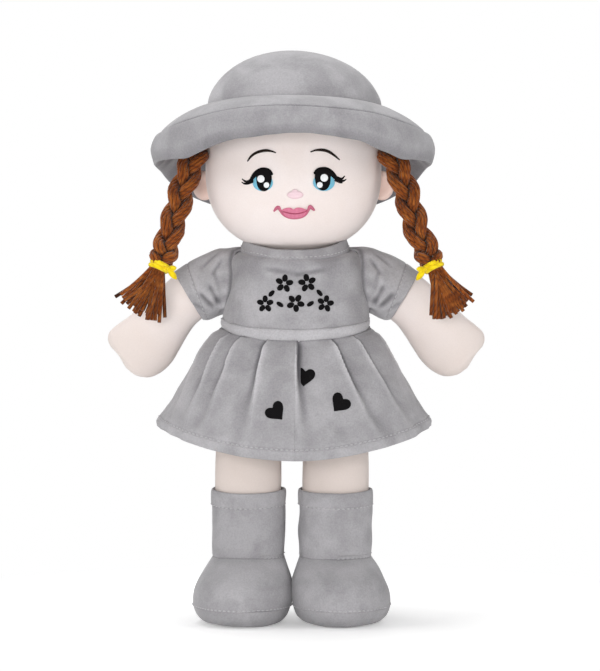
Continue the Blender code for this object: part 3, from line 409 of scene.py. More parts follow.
def to_object(name, parts, material):
    """One mesh object from one or more sets of points, faces and map corners."""
    points, faces, places, start = [], [], [], 0
    for p, f, m in parts:
        points.append(p)
        faces += [face for block in f for face in (block + start).tolist()]
        places += [block.reshape(-1, 2) for block in m]
        start += len(p)
    mesh = bpy.data.meshes.new(name)
    mesh.from_pydata(np.concatenate(points).tolist(), [], faces)
    layer = mesh.uv_layers.new(name="cloth_map")
    layer.uv.foreach_set("vector", np.concatenate(places).astype(np.float32).ravel())
    mesh.materials.append(material)
    mesh.shade_smooth()
    made = bpy.data.objects.new(name, mesh)
    bpy.context.scene.collection.objects.link(made)
    return made


def hollow(height, rows, columns, wrap=True):
    """How hollow a surface is at each point: the mean height of the points about it, less its own."""
    about = np.pad(height, ((rows, rows), (0, 0)), "edge")
    about = np.pad(about, ((0, 0), (columns, columns)), "wrap" if wrap else "edge")
    for axis, reach in enumerate((rows, columns)):
        about = sum(np.roll(about, k, axis) for k in range(-reach, reach + 1)) / (2 * reach + 1)
    return about[rows:-rows, columns:-columns] - height


def paint_shade_and_tone(made, values):
    """Writes painted shade, up to 1, and painted highlight, down to -1, at the first points of a piece's
    mesh; a few pieces get a plain darker or paler tone from it.
    """
    full = np.zeros(len(made.data.vertices), np.float32)
    values = np.clip(np.ravel(values), -1, 1)
    full[: len(values)] = values
    made.data.attributes.new("painted_shade_and_tone", "FLOAT", "POINT").data.foreach_set("value", full)
    return made


def surface(name, grid, material, caps=(True, True), flip=False, loop=False):
    """One object from one grid that runs right round, closed at its two ends unless it is a loop."""
    return to_object(name, [grid_parts(grid, True, caps, flip, None, loop)], material)


def shell_parts(outer, inner, wrap, flip=False):
    """A sheet with a thickness: its outer rows, then its inner rows back, closed at every edge."""
    both = np.concatenate([outer, inner[::-1]])
    points, faces, places = grid_parts(both, wrap, flip=flip, loop=True)
    if wrap:
        return points, faces, places
    rows, columns = both.shape[:2]
    k = np.arange(len(outer) - 1)
    for column, turned in ((0, True), (columns - 1, False)):
        face = np.stack([k, k + 1, rows - 2 - k, rows - 1 - k], axis=1) * columns + column
        face = face[:, ::-1] if turned != flip else face
        faces.append(face)
        places.append(np.tile(np.array([[0, 0], [0, 1], [1, 1], [1, 0]]) * MM, (len(k), 1, 1)))
    return points, faces, places


def fit(made, body, slot, *nodes):
    """The piece moves with a body and stands for the solids named. Its slot is not used.

    A piece that bends between two bodies is given no body here.
    """
    if body:
        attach(made, body)
    if nodes:
        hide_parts(*nodes)
    print(made.name, len(made.data.polygons), "faces")
    return made


# %% [markdown]
# ## Curves, ovals and the small unevenness of stuffing
#
# A stuffed shape is easiest to give as a few stations that a smooth curve runs through. The cubic
# used here leaves each station in the direction of its two neighbours, so the stations can be read
# straight from the object. Fibre fill is never quite even, so a few slow sine waves, less than a
# millimetre deep, keep the big surfaces from looking turned on a lathe.


# %% Shape helpers
def through(stations, count):
    """Rows on a cubic through the stations, which leaves each one along its neighbours' chord."""
    stations = np.asarray(stations, float)
    first, last = 2 * stations[:1] - stations[1:2], 2 * stations[-1:] - stations[-2:-1]
    knots = np.concatenate([first, stations, last])
    place = np.linspace(0, len(stations) - 1, count)
    low = np.minimum(place.astype(int), len(stations) - 2)
    t = (place - low).reshape(-1, *[1] * (stations.ndim - 1))
    a, b, c, d = (knots[low + k] for k in range(4))
    bend = a - 2.5 * b + 2 * c - d / 2
    return b + t * (c - a) / 2 + t**2 * bend + t**3 * (1.5 * (b - c) + (d - a) / 2)


def turns(count):
    """Angles round a piece, from its front."""
    return np.arange(count) * 2 * math.pi / count


def ovals(x, y, z, half_width, half_depth, count, dip=0.0):
    """Level ovals, one a row: sine across, cosine in depth, and a front that may dip."""
    turn = turns(count)[None, :]
    given = (x, y, z, half_width, half_depth, dip)
    x, y, z, wide, deep, dip = (np.reshape(np.asarray(v, float), (-1, 1)) for v in given)
    height = z - dip * ((1 + np.cos(turn)) / 2) ** 2
    placed = np.broadcast_arrays(x + wide * np.sin(turn), y - deep * np.cos(turn), height)
    return np.stack(placed, axis=2)


def closed(row):
    """A ring of points or directions with its first repeated at the end."""
    return np.concatenate([row, row[:1]])


def bell(distance, width):
    """1 at no distance, falling off on both sides like a bell: e to minus the square of their ratio."""
    return np.exp(-((distance / width) ** 2))


def lumps(points, size, seed):
    """Slow waves between about -1 and 1: six sines along fixed directions, summed."""
    rng = np.random.default_rng(seed)
    ways = rng.normal(size=(6, 3))
    ways /= np.linalg.norm(ways, axis=1)[:, None]
    waves = np.sin(points @ (ways.T * 2 * math.pi / size) + rng.uniform(0, 6.28, 6))
    return waves.sum(axis=-1) / 2.4


def normals_of(grid, wrap=True):
    """The outward direction at each grid point, from the steps along its row and column."""
    if wrap:
        across = np.roll(grid, -1, axis=1) - np.roll(grid, 1, axis=1)
    else:
        across = np.gradient(grid, axis=1)
    along = np.gradient(grid, axis=0)
    out = np.cross(across, along)
    return out / np.maximum(np.linalg.norm(out, axis=2, keepdims=True), 1e-9)


def crease(points, start, end, width):
    """A soft line on a surface: 1 on the line from start to end, fading over a width."""
    start, end = np.array(start, float), np.array(end, float)
    way = end - start
    t = np.clip(((points - start) @ way) / (way @ way), 0, 1)
    gap = np.linalg.norm(points - (start + t[..., None] * way), axis=-1)
    fade = np.sin(math.pi * np.clip(t * 0.9 + 0.08, 0, 1)) ** 0.5
    return np.exp(-((gap / width) ** 2)) * fade


def superellipse(share, power):
    """Share of the full width left at a share of the height: both to one power sum to one."""
    return (1 - np.abs(share) ** power) ** (1 / power)


def smooth(stations, x):
    """A value at each x: a cubic between stations (x, value), level at the first and the last."""
    knots, values = np.asarray(stations, float).T
    slopes = np.gradient(values, knots)
    slopes[0] = slopes[-1] = 0
    x = np.clip(x, knots[0], knots[-1])
    low = np.clip(np.searchsorted(knots, x, side="right") - 1, 0, len(knots) - 2)
    span = knots[low + 1] - knots[low]
    t = (x - knots[low]) / span
    bend = values[low] * (2 * t**3 - 3 * t**2 + 1) + values[low + 1] * (3 * t**2 - 2 * t**3)
    return bend + slopes[low] * span * (t**3 - 2 * t**2 + t) + slopes[low + 1] * span * (t**3 - t**2)


def on_front(grid):
    """A function of x and z that gives the depth of a surface's front, from its nearest point."""
    out = normals_of(grid).reshape(-1, 3)
    points = grid.reshape(-1, 3)
    facing = out[:, 1] < -0.15
    points, out = points[facing], out[facing]

    def front(x, z):
        x, z = np.broadcast_arrays(x, z)
        seen = np.stack([x.ravel(), z.ravel()], axis=1)
        gap = ((seen[:, None] - points[None][:, :, [0, 2]]) ** 2).sum(axis=2)
        near = gap.argmin(axis=1)
        dx, dz = seen[:, 0] - points[near, 0], seen[:, 1] - points[near, 2]
        depth = points[near, 1] - (out[near, 0] * dx + out[near, 2] * dz) / out[near, 1]
        return depth.reshape(x.shape)

    return front


# %% [markdown]
# ## Seams and stitches
#
# A machine seam pulls the cloth into a shallow groove, and short stitches of sewing thread lie in
# it, each about 2.3 mm long. One small grain of rice, a round section that closes at both ends, is
# copied along the line to every stitch in a single mesh.


# %% A row of stitches
FINE_STITCH = 0.36 * MM


def stitches(name, path, out, spacing=3.4 * MM, length=2.3 * MM, radius=0.5 * MM):
    """Stitches along a path, half sunk in the cloth: grains with a cosine profile along the line."""
    step = np.linalg.norm(np.diff(path, axis=0), axis=1)
    run = np.append(0, np.cumsum(step))
    count = int(run[-1] / spacing)
    spots = (np.arange(count) + 0.5) * run[-1] / count
    centre = np.stack([np.interp(spots, run, path[:, k]) for k in range(3)], axis=1)
    up = np.stack([np.interp(spots, run, out[:, k]) for k in range(3)], axis=1)
    ahead = np.stack([np.interp(spots + radius, run, path[:, k]) for k in range(3)], axis=1) - centre
    ahead /= np.maximum(np.linalg.norm(ahead, axis=1)[:, None], 1e-9)
    side = np.cross(ahead, up)
    side /= np.linalg.norm(side, axis=1)[:, None]
    shares = np.linspace(-0.95, 0.95, 6)
    angle = turns(6)
    parts = []
    for k in range(count):
        swell = radius * np.sqrt(1 - shares**2)[:, None, None]
        line = centre[k] + (shares * length / 2)[:, None, None] * ahead[k]
        ring = np.cos(angle)[None, :, None] * side[k] + np.sin(angle)[None, :, None] * up[k]
        parts.append(grid_parts(line + swell * ring, True, (True, True), True, None))
    return to_object(name, parts, SEAM)


# %% [markdown]
# ## Head
#
# The head is a stuffed velour ball, wider than it is deep, and fuller above the cheeks than below.
# Level ovals follow a superellipse, which is an ellipse whose power sets how boxy it is: 2.3 for the
# chin and 3.3 for the top of the head, which the hat hides.

# %% The head
HEAD_MIDDLE = 311.5 * MM
HEAD_DROP, HEAD_RISE = 55 * MM, 74 * MM
HEAD_HALF_WIDTH, HEAD_HALF_DEPTH = 60.8 * MM, 50 * MM


def head_swell(z):
    """Share of the head's full width at a height: a superellipse of power 2.3 below, 3.3 above."""
    share = np.clip((z - HEAD_MIDDLE) / np.where(z < HEAD_MIDDLE, HEAD_DROP, HEAD_RISE), -0.999, 0.999)
    return superellipse(share, np.where(share < 0, 2.3, 3.3))


def head_front(x, z):
    """Depth of the head's front surface under a point seen from the front."""
    swell = head_swell(z)
    across = np.clip((x - HEAD_X) / (HEAD_HALF_WIDTH * swell), -0.99, 0.99)
    return -HEAD_HALF_DEPTH * swell * np.sqrt(1 - across**2)


latitude = np.linspace(-1.38, 1.40, 120)
levels = HEAD_MIDDLE + np.sin(latitude) * np.where(latitude < 0, HEAD_DROP, HEAD_RISE)
swell = head_swell(levels)
head_grid = ovals(HEAD_X, 0, levels, HEAD_HALF_WIDTH * swell, HEAD_HALF_DEPTH * swell, 160)
head_grid += normals_of(head_grid) * (0.35 * MM * lumps(head_grid, 90 * MM, 3))[..., None]
made = surface("head", head_grid, SKIN)
fit(made, "head", "skin_velour", "head_skin", "head_stuffing")

# %% [markdown]
# ## Ears
#
# Each ear is a flat pad of pink velour with a dished front, set into the side seam of the head.

# %% Ears
EAR_HALF = np.array([8.2, 3.6, 10.2]) * MM
EAR_OUT, EAR_BACK, EAR_HEIGHT = 61.5 * MM, 5 * MM, 301.9 * MM
for side, sign in SIDES:
    a = np.linspace(-math.pi / 2 + 0.05, math.pi / 2 - 0.05, 24)[:, None]
    b = turns(40)[None, :]
    reach = np.cos(a) ** 0.7
    dished = 1 - 0.75 * bell(reach, 0.55) * (a > 0)
    ear = np.stack(
        [
            HEAD_X + sign * (EAR_OUT + EAR_HALF[0] * reach * np.cos(b)),
            EAR_BACK - EAR_HALF[1] * np.sin(a) * dished + 0 * b,
            EAR_HEIGHT + EAR_HALF[2] * reach * np.sin(b),
        ],
        axis=2,
    )
    made = surface(f"ear_pad_{side}", ear, PINK, flip=sign > 0)
    fit(made, "head", "pink_velour", f"ear_{side}")

# %% [markdown]
# ## Embroidered face
#
# The eyes, brows, nose and mouth are satin stitch on the velour, a little under a millimetre proud.
# Filled shapes are pads: an outline seen from the front shrinks towards its middle as it rises, and
# sinks the same way behind, so each pad is closed. Lines are ribbons with a flat oval section. Both
# take their depth from the head's own formula, so they lie on its curve.


# %% Pads and ribbons of thread
SUNK = 0.6 * MM  # how deep the back of a pad or a ribbon lies in the cloth
LIFT = 0.1 * MM


def pad(outline, front, rise, lift=LIFT, grain=0.0, rows=15):
    """A closed pad: its outline shrinks by a cosine as it rises, and its depth follows a surface."""
    outline = np.asarray(outline, float)
    middle = outline.mean(axis=0)
    a = np.linspace(-math.pi / 2 + 0.02, math.pi / 2 - 0.02, rows)[:, None]
    share = (np.cos(a) ** 0.45)[..., None]
    flat = middle + share * (outline - middle)[None]
    height = lift + np.sin(a) * np.where(a > 0, rise, SUNK)
    grid = np.stack([flat[..., 0], front(flat[..., 0], flat[..., 1]) - height, flat[..., 1]], axis=2)
    turned = math.radians(grain)
    u = flat[..., 0] * math.cos(turned) + flat[..., 1] * math.sin(turned)
    v = flat[..., 1] * math.cos(turned) - flat[..., 0] * math.sin(turned)
    uv = np.stack([np.append(w, w[:, :1], axis=1) for w in (u, v)], axis=2)
    return grid_parts(grid, True, (True, True), True, uv)


def ribbon(spine, widths, front, rise, count=40):
    """A closed ribbon along a line, both in mm: a flat oval section, as wide as the widths say."""
    line = through(mm(*spine), count)
    half = through(np.reshape(widths, (-1, 1)) * MM, count)[:, 0] / 2
    way = np.gradient(line, axis=0)
    way /= np.linalg.norm(way, axis=1)[:, None]
    side = np.stack([-way[:, 1], way[:, 0]], axis=1)
    a = turns(12)[None, :]
    flat = line[:, None] + (half[:, None] * np.cos(a))[..., None] * side[:, None]
    full = np.minimum(1, half / half.max() * 1.4)[:, None]
    height = np.sin(a) * np.where(np.sin(a) > 0, rise * full, SUNK)
    grid = np.stack([flat[..., 0], front(flat[..., 0], flat[..., 1]) - height, flat[..., 1]], axis=2)
    return grid_parts(grid, True, (True, True), True, None)


def leaning(x, z, across, up, lean):
    """An outline seen from the front, turned by a lean in degrees and moved to x and z."""
    lean = math.radians(lean)
    return np.stack(
        [
            x + (across * math.cos(lean) - up * math.sin(lean)),
            z + (across * math.sin(lean) + up * math.cos(lean)),
        ],
        axis=1,
    )


def oval(x, z, wide, tall, lean=0.0, count=40, power=2.0):
    """An oval outline, seen from the front, in mm; a power over 2 makes it boxier."""
    t = turns(count)
    across = wide * np.sign(np.cos(t)) * np.abs(np.cos(t)) ** (2 / power)
    up = tall * np.sign(np.sin(t)) * np.abs(np.sin(t)) ** (2 / power)
    return leaning(x, z, across, up, lean) * MM


def mm(*points):
    """Points given in mm, in metres."""
    return np.array(points, float) * MM


# %% Eyes and brows
# All in mm: ovals by their middle and their half width and height, lines by their points. The
# ribbons' widths follow.
EYES = {
    "left": {
        "dark": (-22.2, 305.9, 5.4, 8.0, -3), "blue": (-22.9, 303.7, 6.9, 5.7),
        "lid": (
            (-31.5, 304.8), (-28.6, 308.8), (-25.4, 311.3), (-22.2, 312.1), (-18.8, 311.4), (-16.1, 309.1),
        ),
        "lashes": (
            ((-29.6, 306.0), (-33.0, 304.5), (-35.1, 304.8), (-37.1, 306.4)),
            ((-29.6, 305.0), (-33.0, 303.4), (-35.3, 303.1), (-37.4, 304.2)),
        ),
        "glints": ((-24.2, 306.3, 2.5), (-20.4, 302.1, 1.9)),
        "brow": (
            (-33.4, 318.1), (-30.5, 321.9), (-26.2, 324.4), (-21.2, 325.4), (-16.9, 324.9), (-14.0, 323.9),
        ),
    },
    "right": {
        "dark": (17.7, 306.3, 5.6, 8.0, 3), "blue": (18.4, 303.9, 7.4, 5.8),
        "lid": (
            (11.6, 309.9), (14.3, 311.8), (17.9, 312.4), (21.5, 311.6), (24.9, 308.8), (27.5, 305.8),
        ),
        "lashes": (
            ((26.0, 307.5), (29.6, 306.2), (31.1, 306.7), (32.6, 308.4)),
            ((26.0, 306.5), (29.6, 305.0), (31.6, 305.0), (33.7, 306.0)),
            ((26.0, 306.0), (29.2, 304.2), (31.0, 303.6)),
        ),
        "glints": ((18.6, 307.0, 2.6), (15.6, 302.2, 2.0)),
        "brow": (
            (9.3, 324.4), (12.7, 325.6), (16.9, 325.8), (21.1, 324.9), (25.3, 322.3), (29.1, 319.1),
        ),
    },
}
LID_WIDTHS = {"left": (2.0, 3.4, 4.0, 4.0, 3.2, 1.0), "right": (1.0, 3.2, 4.0, 4.0, 3.4, 2.0)}
BROW_WIDTHS = {"left": (0.9, 1.6, 1.9, 2.0, 1.3, 0.8), "right": (0.8, 1.3, 2.0, 2.0, 1.6, 0.9)}
UPRIGHT = 90  # the stitches of the eyes and the lips run upright
for side, eye in EYES.items():
    blue = pad(oval(*eye["blue"]), head_front, 0.5 * MM, grain=UPRIGHT)
    fit(to_object(f"iris_{side}", [blue], BLUE), "head", None)
    parts = [pad(oval(*eye["dark"], power=2.2), head_front, 0.9 * MM, grain=UPRIGHT)]
    parts.append(ribbon(eye["lid"], LID_WIDTHS[side], head_front, 1.0 * MM))
    for lash in eye["lashes"]:
        parts.append(ribbon(lash, np.linspace(2.6, 0.7, len(lash)), head_front, 0.9 * MM))
    fit(to_object(f"eye_thread_{side}", parts, BLACK), "head", "black_thread", f"eye_{side}")
    parts = []
    for x, z, size in eye["glints"]:
        parts.append(pad(oval(x, z, size, size, count=28), head_front, 0.5 * MM, 1.0 * MM, UPRIGHT))
    fit(to_object(f"glints_{side}", parts, WHITE), "head", None)
    brow = ribbon(eye["brow"], BROW_WIDTHS[side], head_front, 0.7 * MM)
    fit(to_object(f"brow_thread_{side}", [brow], BROWN_BLACK), "head", "black_thread", f"brow_{side}")

# %% Nose and mouth
nose = pad(oval(-1.0, 295.5, 5.5, 2.7), head_front, 0.7 * MM)
tip = pad(oval(-1.2, 297.9, 2.0, 1.4, count=24), head_front, 0.5 * MM)
fit(to_object("nose_thread", [nose, tip], BLUSH), "head", "pale_pink_thread", "nose")

UPPER_LIP = mm(
    (-10.6, 284.9), (-8.9, 286.0), (-6.4, 286.8), (-4.1, 286.8), (-2.3, 285.7), (-0.2, 286.8), (2.3, 286.9),
    (4.9, 286.2), (7.2, 285.1), (4.2, 283.5), (0.8, 282.9), (-2.6, 282.9), (-6.8, 283.7),
)
LOWER_LIP = mm(
    (-10.3, 284.1), (-6.8, 283.3), (-2.6, 282.6), (0.8, 282.4), (4.2, 283.1), (7.2, 284.5), (6.2, 281.9),
    (3.4, 280.2), (-1.7, 279.4), (-6.4, 280.1), (-9.2, 281.9),
)
parts = []
for lip, count, rise in ((UPPER_LIP, 53, 0.7 * MM), (LOWER_LIP, 45, 0.8 * MM)):
    parts.append(pad(through(closed(lip), count)[:-1], head_front, rise, grain=UPRIGHT))
fit(to_object("lips_thread", parts, ROSE), "head", "pink_thread", "mouth")

SMILE = (
    (-15.6, 284.2), (-13.9, 286.2), (-12.4, 287.0), (-11.3, 285.4), (-9.2, 282.2), (-6.0, 280.2),
    (-1.7, 279.4), (3.0, 280.2), (6.1, 282.2), (8.0, 285.6), (9.0, 287.5), (10.6, 286.4), (12.2, 284.8),
)
SMILE_WIDTHS = (1.0, 2.2, 2.4, 2.0, 1.5, 1.2, 1.0, 1.2, 1.5, 2.0, 2.4, 2.2, 1.0)
smile = ribbon(SMILE, SMILE_WIDTHS, head_front, 0.9 * MM, count=90)
fit(to_object("smile_thread", [smile], MID_ROSE), "head", "pink_thread")
LIP_LINE = ((-9.6, 284.2), (-5.1, 283.0), (-1.3, 282.6), (3.4, 283.2), (7.2, 284.8))
between = ribbon(LIP_LINE, (0.8, 1.0, 1.1, 1.0, 0.8), head_front, 1.1 * MM)
fit(to_object("lip_line_thread", [between], DEEP_ROSE), "head", "pink_thread")

# %% [markdown]
# ## Hat crown
#
# The crown is one dome of plush, sewn to the brim in a round seam that sits higher in front than at
# the back. The seam pulls the dome's foot in a little. A superellipse of power 1.9 gives its outline:
# nearly round, a little pointed.

# %% The crown
CROWN_SEAM, CROWN_TILT = 357.5 * MM, 4.9 * MM
HAT_TOP = 394.8 * MM
CROWN_HALF_WIDTH, CROWN_HALF_DEPTH = 60.0 * MM, 53.5 * MM
CROWN_POWER = 1.9


def crown_seam(turn):
    """Height of the crown's seam: highest in front, where the brim is flipped up."""
    return CROWN_SEAM + CROWN_TILT * np.cos(turn)


levels = np.sin(np.linspace(0.0, 1.53, 60))[:, None]
turn = turns(200)[None, :]
dome = superellipse(np.clip(levels, 0, 0.9995), CROWN_POWER)
# The dome's foot goes under the brim's cloth, deeper at the back, where a gap would show
foot = crown_seam(turn) - (3.6 - 1.6 * np.cos(turn)) * MM
rise = foot + levels * (HAT_TOP - foot)
tuck = 1 - 0.008 * bell(levels, 0.03)
crown = np.stack(
    [
        HEAD_X + CROWN_HALF_WIDTH * dome * tuck * np.sin(turn),
        -CROWN_HALF_DEPTH * dome * tuck * np.cos(turn),
        rise + 0 * turn,
    ],
    axis=2,
)
pull = bell(levels - 0.12, 0.16) * lumps(crown, 34 * MM, 5)
swell = 0.7 * lumps(crown, 70 * MM, 6) + 0.6 * pull
crown += normals_of(crown) * (MM * swell)[..., None]
made = surface("hat_dome", crown, PLUSH)
# Painted shade along the seam at the dome's foot and in its hollows
paint_shade_and_tone(made, 0.6 * bell(levels, 0.03) + 0.5 * hollow(swell, 5, 7))
fit(made, "hat", "grey_plush", "hat_crown")

# %% [markdown]
# ## Hat brim
#
# The brim is two rings of plush with wadding between them, stuffed like a bolster at the edge. It
# is one closed section carried round the head. From the crown seam a slope falls to a stitched
# ridge, then a puffed band runs down to the edge and turns under. In front the brim is flipped
# up, so its edge stands high over the face. At the sides and the back it falls to the ears.
#
# The section's heights change with the angle, and are read off at stations round the head, each an
# angle from the front in degrees and a height in mm.

# %% The brim's lines round the head
RIDGE_AT = (
    (0, 355.2), (30, 351.5), (60, 343.6), (75, 339.4), (90, 336.0), (120, 327.5), (150, 319.5), (180, 316.0),
)
EDGE_AT = (
    (0, 337.0), (19, 334.3), (28, 332.2), (37, 327.2), (43.5, 323.7), (49, 320.7), (59, 319.8), (75, 318.6),
    (90, 316.5), (106, 311.9), (118, 302.9), (135, 292.4), (150, 285.6), (180, 279.0),
)
BRIM_HALF_WIDTH, BRIM_HALF_DEPTH = 97.0 * MM, 86.5 * MM
BRIM_INNER_WIDTH, BRIM_INNER_DEPTH = 58.5 * MM, 52.0 * MM

turn = turns(360)[None, :]
off_front = np.abs((np.degrees(turn) + 180) % 360 - 180)
ridge_height = MM * smooth(RIDGE_AT, off_front)
edge_height = MM * smooth(EDGE_AT, off_front)
seam_height = crown_seam(turn)
print("brim edge from", edge_height.min() / MM, "to", edge_height.max() / MM, "mm")

# %% The brim's closed section, carried round
# Each station: reach from the crown (0) to the rim (1), the line its height follows (0 the crown
# seam, 1 the ridge, 2 the edge), and how far it stands above that line in mm.
BRIM_SECTION = (
    (0.00, 0.05, -1.0), (0.10, 0.13, 0.8), (0.30, 0.34, 2.2), (0.58, 0.64, 2.6), (0.80, 0.90, 1.4),
    (0.880, 1.00, -0.4), (0.935, 1.06, 0.2), (0.985, 1.24, 0.0), (1.015, 1.52, 0.0), (1.000, 1.80, 0.4),
    (0.960, 2.00, 0.0), (0.890, 2.02, 1.2), (0.76, 1.85, 3.0), (0.56, 1.45, 3.0), (0.32, 0.90, 1.0),
    (0.12, 0.40, -2.0), (0.02, 0.15, -4.0),
)
section = through(BRIM_SECTION + BRIM_SECTION[:1], 121)[:-1]
reach, line, rise = (section[:, k][:, None] for k in range(3))
height = np.where(
    line <= 1,
    seam_height + (ridge_height - seam_height) * line,
    ridge_height + (edge_height - ridge_height) * (line - 1),
)
wide = BRIM_INNER_WIDTH + (BRIM_HALF_WIDTH - BRIM_INNER_WIDTH) * reach
deep = BRIM_INNER_DEPTH + (BRIM_HALF_DEPTH - BRIM_INNER_DEPTH) * reach
brim = np.stack([HEAD_X + wide * np.sin(turn), -deep * np.cos(turn), height + rise * MM], axis=2)
tread = np.arange(len(section))[:, None] / len(section)
ridge = tread[np.abs(line[:60] - 1).argmin(), 0]
groove = bell(tread - ridge, 0.011) + 0 * turn
bolster = bell(tread - 0.47, 0.1)
under = bell(tread - 0.78, 0.12)
puff = 0.6 * lumps(brim, 80 * MM, 8) + 0.7 * bolster * lumps(brim, 30 * MM, 9) - 1.1 * groove
gather = 0.7 * under * np.sin(turn * 30 + 2.5 * np.sin(turn * 4)) + 0.5 * under * lumps(brim, 18 * MM, 4)
brim_out = normals_of(np.concatenate([brim[-1:], brim, brim[:1]]))[1:-1]
brim = brim - brim_out * ((puff + gather) * MM)[..., None]
made = surface("hat_brim", brim, PLUSH, caps=(False, False), flip=True, loop=True)
# Painted shade in the ridge's groove and the cloth's hollows, and on the lower bolster, more on the
# left, which the lamps light more. The cloth under the brim gets more painted shade still
shade = 0.5 * np.clip((tread - 0.5) / 0.06, 0, 1) + 0.5 * hollow(-puff - gather, 2, 4)
bolster_shade = (0.22 - 0.08 * np.sin(turn)) * np.clip((tread - ridge) / 0.11, 0, 1)
paint_shade_and_tone(made, 0.9 * groove + shade + bolster_shade * np.clip((0.57 - tread) / 0.06, 0.2, 1))
fit(made, "hat", "grey_plush", "brim_upper", "brim_wadding", "brim_under")

# %% The brim's ridge stitches
row = int(round(ridge * len(section)))
away = -closed(brim_out[row])
fit(stitches("brim_ridge_stitches", closed(brim[row]) + away * 0.25 * MM, away), "hat", None)

# %% [markdown]
# ## Yarn braids
#
# Each braid is sewn to the side of the head and has three strands, and each strand is a bundle of
# loosely twisted yarns. In a flat braid a strand swings from side to side once while it goes over
# and under twice, so its path is a figure of eight: a sine across and a sine of twice the angle in
# depth. The three strands are a third of a turn apart. Each yarn is a tube round its own path,
# and its place in the bundle turns slowly along the strand.


# %% A tube along a path
BACK = np.array([0.0, 1.0, 0.0])
ASLANT = np.array([0.3, 0.2, 0.93])  # for a path that itself runs back


def axes_along(path, hint=BACK):
    """The direction of a path at each point, a direction square to it and to a hint, and a third."""
    way = np.gradient(path, axis=0)
    way /= np.linalg.norm(way, axis=1)[:, None]
    side = np.cross(way, hint)
    side /= np.linalg.norm(side, axis=1)[:, None]
    return way, side, np.cross(side, way)


def run_along(path):
    """The distance run along a path at each of its points."""
    return np.append(0, np.cumsum(np.linalg.norm(np.diff(path, axis=0), axis=1)))


def tube_parts(path, radius, sides=8):
    """A closed tube: rings square to the path. Its map is once around, and metres along."""
    path = np.asarray(path, float)
    radius = np.broadcast_to(radius, len(path))
    way, side, up = axes_along(path)
    if abs(way[:, 1]).max() >= 0.9:
        way, side, up = axes_along(path, ASLANT)
    a = turns(sides)[None, :, None]
    ring = radius[:, None, None] * (np.cos(a) * side[:, None] + np.sin(a) * up[:, None])
    run = run_along(path)
    uv = np.stack(np.meshgrid(np.arange(sides + 1) / sides, run), axis=2)
    return grid_parts(path[:, None] + ring, True, (True, True), False, uv)


YARNS_IN_STRAND = 8
YARN_RADIUS = 1.3 * MM
STRAND_SPREAD = 2.8 * MM


def strand_parts(path, pitch, start):
    """Yarns laid round a core: each one's place turns once a pitch, so the strand is twisted."""
    _, side, up = axes_along(path)
    run = run_along(path)
    parts = [tube_parts(path, STRAND_SPREAD * 0.85, 10)]
    for k in range(YARNS_IN_STRAND):
        a = (start + k * 2 * math.pi / YARNS_IN_STRAND + run * 2 * math.pi / pitch)[:, None]
        place = path + STRAND_SPREAD * np.cos(a) * side + STRAND_SPREAD * 0.9 * np.sin(a) * up
        parts.append(tube_parts(place, YARN_RADIUS))
    return parts


def nearness(points, own, *others):
    """How deep in painted shade a point is, from 0 to 1: as near another strand as its own, or between two
    yarns.
    """
    lines = (line[None, ::2] for line in (own, *others))
    near = [np.linalg.norm(points[:, None] - line, axis=2).min(axis=1) for line in lines]
    crossing = np.clip(1 - (np.minimum(*near[1:]) - near[0]) / (2.4 * MM), 0, 1) ** 1.3
    between = np.clip((3.7 * MM - near[0]) / (1.2 * MM), 0, 1)
    return np.maximum(crossing, 0.85 * between)


# %% The braids' middle lines
BRAID_LINES = {
    "left": (
        (-66.2, 331.0), (-69.2, 324.5), (-73.6, 312.3), (-78.4, 298.6), (-81.7, 284.9), (-86.0, 271.3),
        (-89.2, 258.6), (-91.2, 252.6), (-93.6, 247.0),
    ),
    "right": (
        (61.4, 331.0), (63.6, 324.5), (69.6, 312.3), (74.5, 298.6), (78.2, 284.9), (82.2, 271.3),
        (88.2, 258.0), (90.4, 252.2), (93.0, 247.0),
    ),
}
BRAID_ROOT_DEPTH, BRAID_FALL = -12, 20.5


def braid_middle(side, count):
    """Points down the middle of a braid: it falls forward as it clears the shoulder."""
    line = np.array(BRAID_LINES[side])
    fall = (line[0, 1] - line[:, 1]) / (line[0, 1] - line[-1, 1])
    depth = BRAID_ROOT_DEPTH - BRAID_FALL * fall**0.8
    return through(np.stack([line[:, 0], depth, line[:, 1]], axis=1) * MM, count)


# %% The strands of a braid
rng = np.random.default_rng(12)
STRAND_SWAY, STRAND_WEAVE = 5.7 * MM, 4.4 * MM


def braid_strands(side, sign, middle, across, ahead):
    """Three strands round a braid's middle line, closer together at its root and at its tie."""
    share = np.linspace(0, 1, len(middle))
    open_up = np.clip(share * 5 + 0.6, 0, 1) * np.clip((1 - share) * 6 + 0.3, 0, 1)
    paths = []
    for k in range(3):
        phase = 2 * math.pi * (2 * share + k / 3)
        sway = STRAND_SWAY * open_up * np.sin(phase) * -sign
        weave = STRAND_WEAVE * open_up * np.sin(2 * phase)
        paths.append(middle + sway[:, None] * across + weave[:, None] * ahead)
    for k, path in enumerate(paths):
        parts = strand_parts(path, 70 * MM * sign, k * 1.1)
        points = np.concatenate([part[0] for part in parts])
        made = to_object(f"braid_{side}_strand_{k + 1}_yarns", parts, HAIR)
        # Painted shade where the strands cross and between the yarns
        paint_shade_and_tone(made, nearness(points, path, paths[k - 2], paths[k - 1]))
        fit(made, f"braid_{side}", "brown_yarn", f"braid_{side}_strand_{k + 1}")


# %% The tie and its knot
TIE_RADIUS, TIE_REACH = 1.65 * MM, (5.8 * MM, 5.4 * MM)


